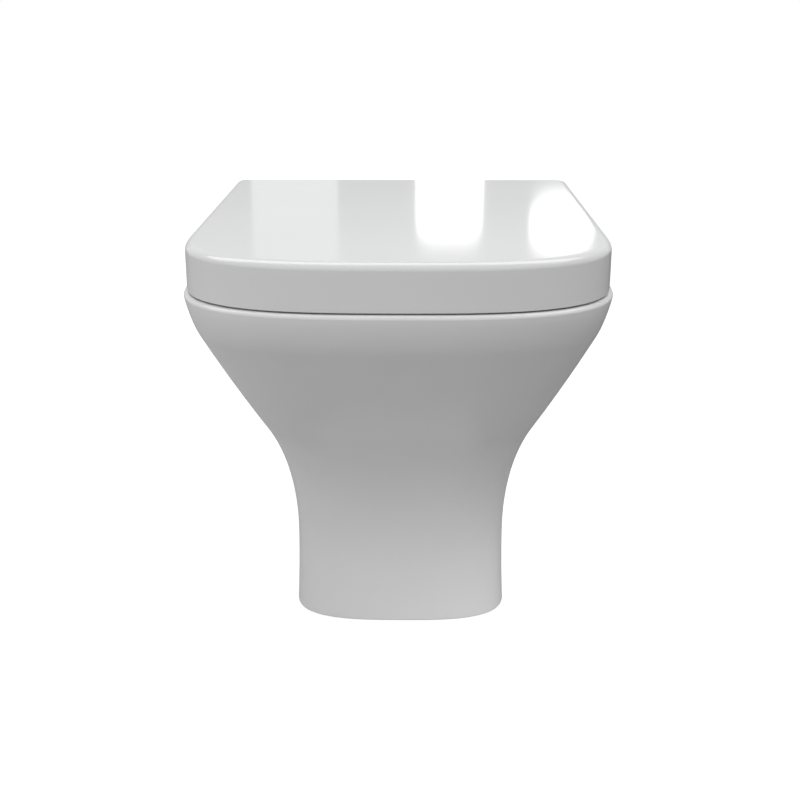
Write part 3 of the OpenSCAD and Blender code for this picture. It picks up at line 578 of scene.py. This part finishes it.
def pan_hollow():
    """The room in the skirt and under the deck, less the bowl, the trap, the inlet and webs."""
    end_y = BACK_Y + CUT
    hollow = loft("hollow", [skin_ring(max(z, 0), SKIRT_T, end_y, 0, at_z=z)
                             for z in [-CUT] + steps(8, RIM_UNDER, 42)], index=BARE)
    deck = []
    front = wall(OPENING_BACK - BOWL_T - CHANNEL_IN)
    for z in steps(RIM_UNDER - CUT, DECK_UNDER, 8):
        x = skin_x(z) - SKIRT_T
        deck.append(lift(np.array([[-x, front], [x, front], [x, end_y], [-x, end_y]]), z))
    combine(hollow, [loft("deck", deck, index=BARE)], "UNION")
    angles = np.linspace(0, 2 * math.pi, 160, endpoint=False)
    low = SUMP_Z + SUMP_EDGE_R
    shell = [basin_ring(low - (SUMP_EDGE_R + BOWL_T) * math.cos(math.radians(a)), BOWL_T, angles)
             for a in steps(0, 90, 6)]
    shell += [basin_ring(z, BOWL_T, angles) for z in steps(low, SHELF_Z, 40)[1:]]
    shell.append(basin_ring(RIM_UNDER + CUT, BOWL_T, angles))
    return combine(hollow, [
        loft("bowl_outside", shell, index=BARE),
        trap_tube(TRAP_BORE / 2 + TRAP_T, BARE),
        rod((0, wall(OUTLET_END + OUTLET_LEN), OUTLET_H), "y", OUTLET_LEN, OUTLET_D / 2,
            index=BARE),
        rod((0, wall(OPENING_BACK + INLET_REACH), INLET_H), "y",
            OPENING_BACK - INLET_END + INLET_REACH, INLET_BORE / 2 + INLET_T, index=BARE),
        block((-INLET_WEB_W / 2, wall(OPENING_BACK), INLET_H),
              (INLET_WEB_W / 2, wall(INLET_END), DECK_UNDER + CUT), BARE),
        block((-TRAP_WEB_W / 2, wall(DIP_FROM_WALL), TRAP_ENTRY_H),
              (TRAP_WEB_W / 2, wall(DIP_FROM_WALL) + TRAP_WEB_L, OUTLET_H + TRAP_BORE / 2), BARE),
    ], "DIFFERENCE")


def make_pan():
    body = loft("pan_glazed", pan_rings())
    inner_end = INLET_END + INLET_DEPTH
    holes = [
        pan_hollow(), trap_tube(TRAP_BORE / 2, GLAZED),
        rod((0, wall(OUTLET_END + OUTLET_LEN - TRAP_T), OUTLET_H), "y",
            OUTLET_LEN - TRAP_T + CUT, OUTLET_BORE / 2),
        rod((0, wall(inner_end), INLET_H), "y", INLET_DEPTH + CUT, INLET_BORE / 2 - INLET_DRAFT,
            INLET_BORE / 2, BARE),
        rod((0, wall(OPENING_BACK + PASSAGE_REACH), INLET_H), "y",
            OPENING_BACK + PASSAGE_REACH + CUT - inner_end, INLET_PASSAGE / 2),
    ]
    x = skin_x(SIDE_SCREW_H)
    for side in (-1, 1):
        holes.append(rod((side * FIXING_X, AXIS_Y, DECK_UNDER - CUT), "z", DECK_T + 2 * CUT,
                         FIXING_HOLE_D / 2, index=BARE))
        low = min(side * (x - SKIRT_T - CUT), side * (x + CUT))
        holes.append(rod((low, wall(BRACKET_FROM_WALL), SIDE_SCREW_H), "x", SKIRT_T + 2 * CUT,
                         SLEEVE_D / 2 + SLEEVE_GAP, index=BARE))
    combine(body, holes, "DIFFERENCE")
    for face in body.data.polygons:
        centre = face.center / MM
        if centre.z < BARE_STRIP or centre.y > BACK_Y - BARE_STRIP:
            face.material_index = BARE
    return finish_mesh(body)


# Seat and lid

# Rounding of the lid's lower edge and of the corner under its top
LIP_R, FILLET = 1.2, 3.0
# How far the lid's flat top starts inside its rounded edge
TOP_IN = 2
# How far the last two rings on the lid's flats are drawn in to their middle
NEAR_EDGE, NEAR_MIDDLE = 0.03, 0.9


def lid_outline(inset, end_y):
    return d_outline(LID_W / 2 - inset, LID_NOSE_Y + inset, RIM_NOSE - inset / 2, RIM_POWER,
                     end_y, LID_CORNER_R - inset)


def lug(x, web_y, web_z, web_l, web_h):
    """A round lug on the hinge axis and the web that carries it, for both sides."""
    out = []
    for low in (x, -x - LUG_L):
        out.append(rod((low, AXIS_Y, AXIS_Z), "x", LUG_L, LUG_R))
        out.append(block((low, web_y, web_z), (low + LUG_L, web_y + web_l, web_z + web_h)))
    return out


def axis_bore(x, length, d):
    """Bore on the hinge axis for an insert of diameter d."""
    return rod((x, AXIS_Y, AXIS_Z), "x", length, d / 2 + INSERT_GAP)


def lid_ring(z, inset):
    return lift(lid_outline(inset, wall(LID_BACK) - inset), z)


def make_lid():
    """The lid with its lip, lugs, the relief that it swings in, notches and bores.

    Its rings go from the middle of the ceiling, round the lip and up to the middle of the top.
    """
    under = LID_UNDER - LID_DROP
    middle_y = (LID_NOSE_Y + wall(LID_BACK)) / 2

    def drawn_in(ring, share):
        return mix(ring, np.array([0, middle_y, ring[0, 2]]), share)

    ceiling, top = lid_ring(LID_CEILING, LID_T + FILLET), lid_ring(LID_TOP, LID_EDGE_R + TOP_IN)
    rings = [drawn_in(ceiling, NEAR_MIDDLE), drawn_in(ceiling, NEAR_EDGE), ceiling]
    rings += [lid_ring(LID_CEILING - down, LID_T + inwards)
              for down, inwards in rounded(FILLET, 5, 0, 90)[1:]]
    rings += [lid_ring(z, LID_T) for z in steps(LID_CEILING - FILLET, under + LIP_R, 6)[1:]]
    rings += [lid_ring(under + down, LID_T - inwards)
              for inwards, down in rounded(LIP_R, 3, 0, 90)[1:]]
    rings += [lid_ring(under + down, inwards) for inwards, down in rounded(LIP_R, 3, 90, 0)]
    rings += [lid_ring(z, 0) for z in steps(under + LIP_R, LID_TOP - LID_EDGE_R, 8)[1:]]
    rings += [lid_ring(LID_TOP - down, inwards)
              for inwards, down in rounded(LID_EDGE_R, 10, 0, 90)]
    rings += [top, drawn_in(top, NEAR_EDGE), drawn_in(top, NEAR_MIDDLE)]
    body = loft("lid_gloss", rings)
    combine(body, lug(LUG_IN_X, AXIS_Y - LUG_R, AXIS_Z, 2 * LUG_R, LID_CEILING - AXIS_Z + CUT),
            "UNION")
    relief = block((-LID_W / 2 - CUT, AXIS_Y, LID_UNDER - CUT),
                   (LID_W / 2 + CUT, AXIS_Y + LID_BACK, AXIS_Z))
    combine(relief, [rod((-LID_W / 2 - 2 * CUT, AXIS_Y, AXIS_Z), "x", LID_W + 4 * CUT,
                         AXIS_H - SWEEP_GAP)], "DIFFERENCE")
    tools = [relief]
    for side in (-1, 1):
        tools.append(block((side * FIXING_X - BLOCK_W / 2 - NOTCH_GAP, AXIS_Y, LID_UNDER - CUT),
                           (side * FIXING_X + BLOCK_W / 2 + NOTCH_GAP, AXIS_Y + LID_BACK,
                            LID_CEILING)))
    tools.append(axis_bore(LUG_IN_X + LUG_L - DAMPER_L - END_ROOM, DAMPER_L + END_ROOM + CUT,
                           DAMPER_D))
    tools.append(axis_bore(-LUG_IN_X - LUG_L - CUT, BUSH_L + END_ROOM + CUT, BUSH_D))
    return finish_mesh(combine(body, tools, "DIFFERENCE"))


def make_seat():
    """The seat ring, closed on itself through its hole, with its lugs and bores."""
    def outer(z, inset):
        return lift(lid_outline(SEAT_INSET + inset, SEAT_BACK_Y - inset), z)

    half_w, front = LID_W / 2 - SEAT_INSET - SEAT_BAND, LID_NOSE_Y + SEAT_INSET + SEAT_BAND
    rear = wall(SEAT_HOLE_BACK)
    base = outer(SEAT_TOP, SEAT_EDGE_R)
    angles = np.arctan2(base[:, 1] - (front + rear) / 2, base[:, 0])

    def hole(z, grow):
        return polar_ring(z, half_w + grow, front - grow, rear + grow, SEAT_HOLE_POWER, angles)

    rings = [outer(SEAT_UNDER, SEAT_FOOT_R + SEAM)]
    rings += [outer(SEAT_UNDER + down, inwards)
              for inwards, down in rounded(SEAT_FOOT_R, 4, 90, 0)]
    rings += [outer(z, 0) for z in steps(SEAT_UNDER + SEAT_FOOT_R, SEAT_TOP - SEAT_EDGE_R, 3)[1:]]
    rings += [outer(SEAT_TOP - down, inwards)
              for inwards, down in rounded(SEAT_EDGE_R, 9, 0, 90)[1:]]
    rings += [outer(SEAT_TOP, SEAT_EDGE_R + SEAM), hole(SEAT_TOP, SEAT_EDGE_R + SEAM)]
    rings += [hole(SEAT_TOP - down, inwards) for inwards, down in rounded(SEAT_EDGE_R, 9, 90, 0)]
    rings += [hole(z, 0) for z in steps(SEAT_TOP - SEAT_EDGE_R, SEAT_UNDER + SEAT_FOOT_R, 3)[1:]]
    rings += [hole(SEAT_UNDER + down, inwards)
              for inwards, down in rounded(SEAT_FOOT_R, 4, 0, 90)[1:]]
    rings += [hole(SEAT_UNDER, SEAT_FOOT_R + SEAM)]
    body = loft("seat_gloss", rings, closed=True)
    web_z = AXIS_Z - LUG_R + WEB_UP
    combine(body, lug(LUG_OUT_X, SEAT_BACK_Y - SEAT_WEB, web_z, AXIS_Y - SEAT_BACK_Y + SEAT_WEB,
                      SEAT_TOP - WEB_DOWN - web_z), "UNION")
    tools = [axis_bore(LUG_OUT_X - CUT, BUSH_L + END_ROOM + CUT, BUSH_D),
             axis_bore(-LUG_OUT_X - DAMPER_L - END_ROOM, DAMPER_L + END_ROOM + CUT, DAMPER_D)]
    return finish_mesh(combine(body, tools, "DIFFERENCE"))


pan, lid, seat = make_pan(), make_lid(), make_seat()
paint(lid, gloss)
paint(seat, gloss)
for piece, body, node, slot in ((pan, "pan_body", "pan", "ceramic"),
                                (lid, "lid_body", "lid", "seat_plastic"),
                                (seat, "seat_body", "seat_ring", "seat_plastic")):
    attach(piece, body)
    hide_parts(node)


# Small pieces with more shape than their solids

THREAD_PITCH, THREAD_DEPTH, THREAD_SIDES, THREAD_RINGS = 1.25, 0.55, 32, 158
# How steep the thread's flanks are, and how wide its crest is
THREAD_SLOPE, THREAD_CREST = 2.6, 0.15
# The stud's pointed end, where its thread starts, and the post's groove for the button
STUD_TIP, THREAD_FROM, GROOVE, GROOVE_SLOPE = 1.2, 0.7, 0.5, 0.4
HUB_FOOT, HUB_EDGE, WING_EDGE, WING_ROOT, WAIST_SHARE = 0.9, 0.6, 0.7, 1.5, 0.72
BUFFER_SOFT = 2
# A buffer's dimple, as (up, radius)
DIMPLE = [(0.5, 1.4), (0.12, 2.2), (0, 2.8)]
# How far the seal's lips stand in, and where they are along it
SEAL_LIP, SEAL_LIPS = 1.4, (28, 18, 8)

SMALL = {"steel": steel, "nylon": nylon, "chrome": chrome, "rubber": rubber,
         "seat_plastic": satin, "ceramic": glaze}
slots = {row["node"]: row["material_slot"] for row in frame["record"]["subparts"]}


def dress(parts, name, body, node, angle=SMOOTH_ANGLE):
    """One piece of the given parts, in the finish of the node that it replaces."""
    piece = combine(parts[0], parts[1:], "UNION") if len(parts) > 1 else parts[0]
    piece.name = piece.data.name = name
    paint(piece, SMALL[slots[node]])
    finish_mesh(piece, angle)
    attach(piece, body)
    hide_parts(node)


def stud(x):
    """A stud with a helical thread below the deck and a grooved post on top."""
    crest, low = STUD_D / 2, DECK_UNDER - STUD_DROP
    turns = np.linspace(0, 2 * math.pi, THREAD_SIDES, endpoint=False)
    rings = []

    def ring(z, r):
        rings.append(np.column_stack([x + r * np.cos(turns), AXIS_Y + r * np.sin(turns),
                                      np.full(THREAD_SIDES, z)]))

    ring(low, crest - STUD_TIP)
    for z in steps(low + THREAD_FROM, DECK_UNDER - 1, THREAD_RINGS):
        phase = (z / THREAD_PITCH - turns / (2 * math.pi)) % 1
        wave = np.clip(THREAD_SLOPE * np.abs(phase - 0.5) - THREAD_CREST, 0, 1)
        ring(z, crest - THREAD_DEPTH * wave)
    block_z = PAN_H + GASKET_T + BASE_T
    latch, r = block_z + BUTTON_FLOOR, POST_D / 2
    for z, radius in ((DECK_UNDER, crest), (block_z, crest), (block_z, r),
                      (latch - GROOVE_SLOPE, r), (latch, r - GROOVE),
                      (latch + BUTTON_T, r - GROOVE), (latch + BUTTON_T + GROOVE_SLOPE, r),
                      (POST_TOP - 1, r), (POST_TOP, r - 1)):
        ring(z, radius)
    return loft("stud", rings)


def wing_nut(x):
    """A round nut with two flat wings, bored to the stud's thread."""
    low, r = DECK_UNDER - WASHER_T - NUT_H, NUT_D / 2
    hub = turned("hub", [(0, r - HUB_FOOT), (HUB_FOOT, r), (NUT_H - HUB_EDGE, r),
                         (NUT_H, r - HUB_EDGE)], (x, AXIS_Y, low), "z", 48)
    wing_h = NUT_H * WING_SHARE
    end_r, waist_x, waist_h = wing_h / 2, r - WING_ROOT, wing_h * WAIST_SHARE
    wings = []
    for inset, y in ((WING_EDGE, -WING_T / 2), (0, WING_EDGE - WING_T / 2),
                     (0, WING_T / 2 - WING_EDGE), (WING_EDGE, WING_T / 2)):
        right = arc(WING_SPAN / 2 - end_r, end_r, end_r - inset, -90, 90, 12)
        waist = np.array([[waist_x, waist_h - inset], [-waist_x, waist_h - inset]])
        flat = np.concatenate([right, waist, (right * [-1, 1])[::-1]])
        wings.append(np.column_stack([x + flat[:, 0], np.full(len(flat), AXIS_Y + y),
                                      low + flat[:, 1]]))
    combine(hub, [loft("wings", wings)], "UNION")
    return combine(hub, [rod((x, AXIS_Y, low - CUT), "z", NUT_H + 2 * CUT,
                             STUD_D / 2 + SLEEVE_GAP)], "DIFFERENCE")


def buffers(inset, low, high):
    """Four round buffers with a soft lower edge and a dimple, as the source places them."""
    x, r, soft = LID_W / 2 - inset, BUFFER_D / 2, BUFFER_SOFT
    cos, sin = math.cos(math.radians(NOSE_BUFFER_A)), math.sin(math.radians(NOSE_BUFFER_A))
    nose = (x * cos ** (2 / RIM_POWER),
            LID_NOSE_Y + inset + (RIM_NOSE - inset / 2) * (1 - sin ** (2 / RIM_POWER)))
    profile = DIMPLE + [(0, r - soft)]
    for a in steps(15, 90, 5):
        turn = math.radians(a)
        profile.append((soft * (1 - math.cos(turn)), r - soft + soft * math.sin(turn)))
    profile.append((high - low, r))
    return [turned("buffer", profile, (side * px, py, low), "z", 40)
            for side in (-1, 1) for px, py in ((x, wall(BUFFER_FROM_WALL)), nose)]


def seal():
    """The rubber seal of the flush inlet: a flanged sleeve with three lips round the pipe."""
    length, bore = INLET_DEPTH - SEAL_SHORT, FLUSH_PIPE_D / 2
    mouth = INLET_BORE / 2 - SLEEVE_GAP
    tip = mouth - INLET_DRAFT * length / INLET_DEPTH
    flange = INLET_BORE / 2 + SEAL_FLANGE
    end, sleeve = length + SEAL_FLANGE_T, bore + SEAL_LIP
    profile = [(0, tip - 1.2), (1.2, tip), (length, mouth), (length, flange - 0.8),
               (length + 0.8, flange), (end - 1.4, flange), (end - 0.4, flange - 0.5),
               (end, flange - 1.4), (end, bore + 2.4), (end - 0.7, bore + 1.2)]
    for lip in SEAL_LIPS:
        profile += [(lip + 3.2, sleeve), (lip + 1.2, bore), (lip, bore), (lip - 1.0, sleeve)]
    profile.append((0, sleeve))
    return turned("seal", profile, (0, wall(INLET_END) - length, INLET_H), "y", 96, closed=True)


dress([stud(-FIXING_X), stud(FIXING_X)], "studs_threaded", "pan_body", "fixing_studs", 50)
dress([wing_nut(-FIXING_X), wing_nut(FIXING_X)], "wing_nuts", "pan_body", "fixing_nuts")
dress(buffers(SEAT_INSET + BUFFER_EDGE + BUFFER_D / 2, PAN_H + REST_GAP, SEAT_UNDER),
      "buffers_under_seat", "seat_body", "seat_buffers")
dress(buffers(SEAT_INSET + SEAT_BAND / 2, SEAT_TOP + REST_GAP, LID_CEILING),
      "buffers_under_lid", "lid_body", "lid_buffers")
dress([seal()], "seal_with_lips", "pan_body", "inlet_seal")


# The other small pieces keep their solids and get a finish and a fine edge

FINE_EDGE, BEVEL_ANGLE = 0.3, 40

for name, node in frame["nodes"].items():
    finish = gloss if name == "cover_caps" else SMALL[slots[name]]
    if not node.material_slots:
        node.data.materials.append(finish)
    for holder in node.material_slots:
        holder.material = finish
    edge = node.modifiers.new("edge", "BEVEL")
    edge.width, edge.segments, edge.limit_method = FINE_EDGE * MM, 2, "ANGLE"
    edge.angle_limit = math.radians(BEVEL_ANGLE)
    edge.harden_normals = False


# Studio: a pale floor, a soft white surround, soft panels behind and overhead, and four lamps

WHITE, BLACK, PALE_LIGHT = (1, 1, 1, 1), (0, 0, 0, 1), (0.985, 1.0, 0.995, 1)
# Half the floor's width
REACH = 30.0
# The floor's tones on the left and the right, where it throws less light up, and how far right
# the change ends
FLOOR_TONES, FLOOR_CHANGE = (0.51, 0.23), 0.6
# What the camera sees the floor glow with, on the left and the right
FLOOR_GLOW = (0.77, 0.90)
# Heights between which the panels behind fade
PANEL_FADE = (0.71, 0.93)
OVERHEAD_LIGHT = 3.7


def axes(tree, output):
    """X, Y and Z of the place that is shaded, or of the way that is looked."""
    at, split = tree.nodes.new("ShaderNodeTexCoord"), tree.nodes.new("ShaderNodeSeparateXYZ")
    tree.links.new(at.outputs[output], split.inputs["Vector"])
    return split.outputs


def times(tree, first, second):
    made = tree.nodes.new("ShaderNodeMath")
    made.operation = "MULTIPLY"
    tree.links.new(first, made.inputs[0])
    tree.links.new(second, made.inputs[1])
    return made.outputs["Value"]


def studio_material(name, low, high, z0, z1):
    """Plain white light, as bright as low at height z0 and as high at z1."""
    made, tree, shader = material(name)
    shader.inputs["Base Color"].default_value = BLACK
    shader.inputs["Roughness"].default_value = 1.0
    shader.inputs["Emission Color"].default_value = PALE_LIGHT
    light = map_range(tree, axes(tree, "Object")["Z"], z0, z1, low, high)
    tree.links.new(light, shader.inputs["Emission Strength"])
    return made


def surround(low, high, right, seen):
    """Light from all round, from low at the horizon to high overhead, less on the right.

    The camera sees plain white, as bright as seen.
    """
    made = bpy.data.worlds.new("surround")
    made.use_nodes = True
    tree = made.node_tree
    tree.nodes.clear()
    way = axes(tree, "Generated")
    light, white = (tree.nodes.new("ShaderNodeBackground") for _ in range(2))
    light.inputs["Color"].default_value = white.inputs["Color"].default_value = WHITE
    tree.links.new(times(tree, map_range(tree, way["Z"], 0.0, 0.8, low, high),
                         map_range(tree, way["X"], 0.2, 0.9, 1.0, right)),
                   light.inputs["Strength"])
    white.inputs["Strength"].default_value = seen
    ray, pick = tree.nodes.new("ShaderNodeLightPath"), tree.nodes.new("ShaderNodeMixShader")
    out = tree.nodes.new("ShaderNodeOutputWorld")
    tree.links.new(ray.outputs["Is Camera Ray"], pick.inputs["Fac"])
    tree.links.new(light.outputs["Background"], pick.inputs[1])
    tree.links.new(white.outputs["Background"], pick.inputs[2])
    tree.links.new(pick.outputs["Shader"], out.inputs["Surface"])
    bpy.context.scene.world = made


def floor_material():
    """A dull floor that lights the pan more from the left, and that the camera sees as white."""
    made, tree, shader = material("pale_floor")
    pale, dull = [ramp(tree, noise(tree, 3.0), (tone,) * 3, (tone + 0.01,) * 3)
                  for tone in FLOOR_TONES]
    across = axes(tree, "Object")["X"]
    both = tree.nodes.new("ShaderNodeMix")
    both.data_type = "RGBA"
    tree.links.new(map_range(tree, across, 0.0, FLOOR_CHANGE, 0.0, 1.0), both.inputs["Factor"])
    colours = [socket for socket in both.inputs if socket.type == "RGBA"]
    tree.links.new(pale, colours[0])
    tree.links.new(dull, colours[1])
    mixed = next(socket for socket in both.outputs if socket.type == "RGBA")
    tree.links.new(mixed, shader.inputs["Base Color"])
    shader.inputs["Roughness"].default_value = 1.0
    shader.inputs["Specular IOR Level"].default_value = 0.0
    shader.inputs["Emission Color"].default_value = WHITE
    ray = tree.nodes.new("ShaderNodeLightPath")
    glow = times(tree, ray.outputs["Is Camera Ray"],
                 map_range(tree, across, 0.0, FLOOR_CHANGE, *FLOOR_GLOW))
    tree.links.new(glow, shader.inputs["Emission Strength"])
    return made


def sheet(name, points, finish, seen=True):
    """A flat stage piece through the points. One that isn't seen only shows in reflections."""
    mesh = bpy.data.meshes.new(name)
    mesh.from_pydata(points, [], [tuple(range(len(points)))])
    made = link(name, mesh)
    made.data.materials.append(finish)
    if not seen:
        made.visible_camera = made.visible_diffuse = made.visible_shadow = False


def level(x0, x1, y0, y1, z):
    return [(x0, y0, z), (x1, y0, z), (x1, y1, z), (x0, y1, z)]


def panel(name, x0, x1, z0, z1, y, r, low, high):
    """A soft panel that faces the front, with round corners of radius r."""
    corners = [(x1 - r, z1 - r, 0), (x0 + r, z1 - r, 90), (x0 + r, z0 + r, 180),
               (x1 - r, z0 + r, 270)]
    outline = np.concatenate([arc(cx, cz, r, a, a + 90, 8) for cx, cz, a in corners])
    sheet(name, [(x, y, z) for x, z in outline], studio_material(name, low, high, *PANEL_FADE),
          seen=False)


def lamp(name, kind, place, aim, energy):
    """Light that doesn't show in reflections."""
    data = bpy.data.lights.new(name, kind)
    data.energy = energy
    made = link(name, data)
    made.location = place
    made.rotation_euler = (Vector(aim) - made.location).to_track_quat("-Z", "Y").to_euler()
    made.visible_glossy = False
    return data


surround(low=1.01, high=0.57, right=0.66, seen=1.0)
sheet("studio_floor", level(-REACH, REACH, -REACH, REACH, 0), floor_material())
panel("wall_behind", -1.4, 1.4, 0.05, 1.10, 2.06, 0.02, 0.56, 0.74)
panel("panel_left", -0.41, -0.183, 0.05, 1.05, 2.03, 0.01, 0.92, 0.92)
panel("panel_middle", 0.022, 0.195, 0.40, 0.876, 2.0, 0.05, 3.0, 1.9)
panel("panel_right", 0.316, 0.49, 0.745, 0.915, 2.0, 0.07, 2.4, 2.1)
sheet("panel_overhead", level(-2.8, 1.8, -0.45, 1.1, 2.4),
      studio_material("panel_overhead", OVERHEAD_LIGHT, OVERHEAD_LIGHT, 0, 1), seen=False)

key = lamp("key", "AREA", (-0.35, -0.75, 2.5), (0, 0, 0.3), 7.4)
key.shape, key.size, key.size_y = "RECTANGLE", 1.1, 0.8
right_key = lamp("right_key", "AREA", (0.9, -0.35, 2.1), (0.1, -0.1, 0.38), 6.2)
right_key.size = 0.6
for name, place, aim, energy, spread in (
        ("foot_fill", (0.0, -1.5, 0.35), (0.0, -0.02, -0.05), 10.0, 18),
        ("foot_fill_right", (0.95, -0.95, 0.2), (0.06, -0.02, -0.05), 13.0, 16)):
    fill = lamp(name, "SPOT", place, aim, energy)
    fill.spot_size, fill.spot_blend = math.radians(spread), 1.0
    fill.shadow_soft_size = 0.15

LENS, SENSOR_W, NEAR, FAR = 55.2, 36.0, 0.05, 100.0
CAMERA_PLACE, LOOK_DOWN, LOOK_LEFT = (0.01175, -1.1855, 0.6404), math.radians(18.70), 0.010

camera_data = bpy.data.cameras.new("camera")
camera_data.lens, camera_data.sensor_width = LENS, SENSOR_W
camera_data.clip_start, camera_data.clip_end = NEAR, FAR
camera = link("camera", camera_data)
camera.location = CAMERA_PLACE
camera.rotation_euler = (math.pi / 2 - LOOK_DOWN, 0.0, LOOK_LEFT)
scene = bpy.context.scene
scene.camera = camera
scene.view_settings.view_transform = "Standard"
scene.view_settings.look = "None"
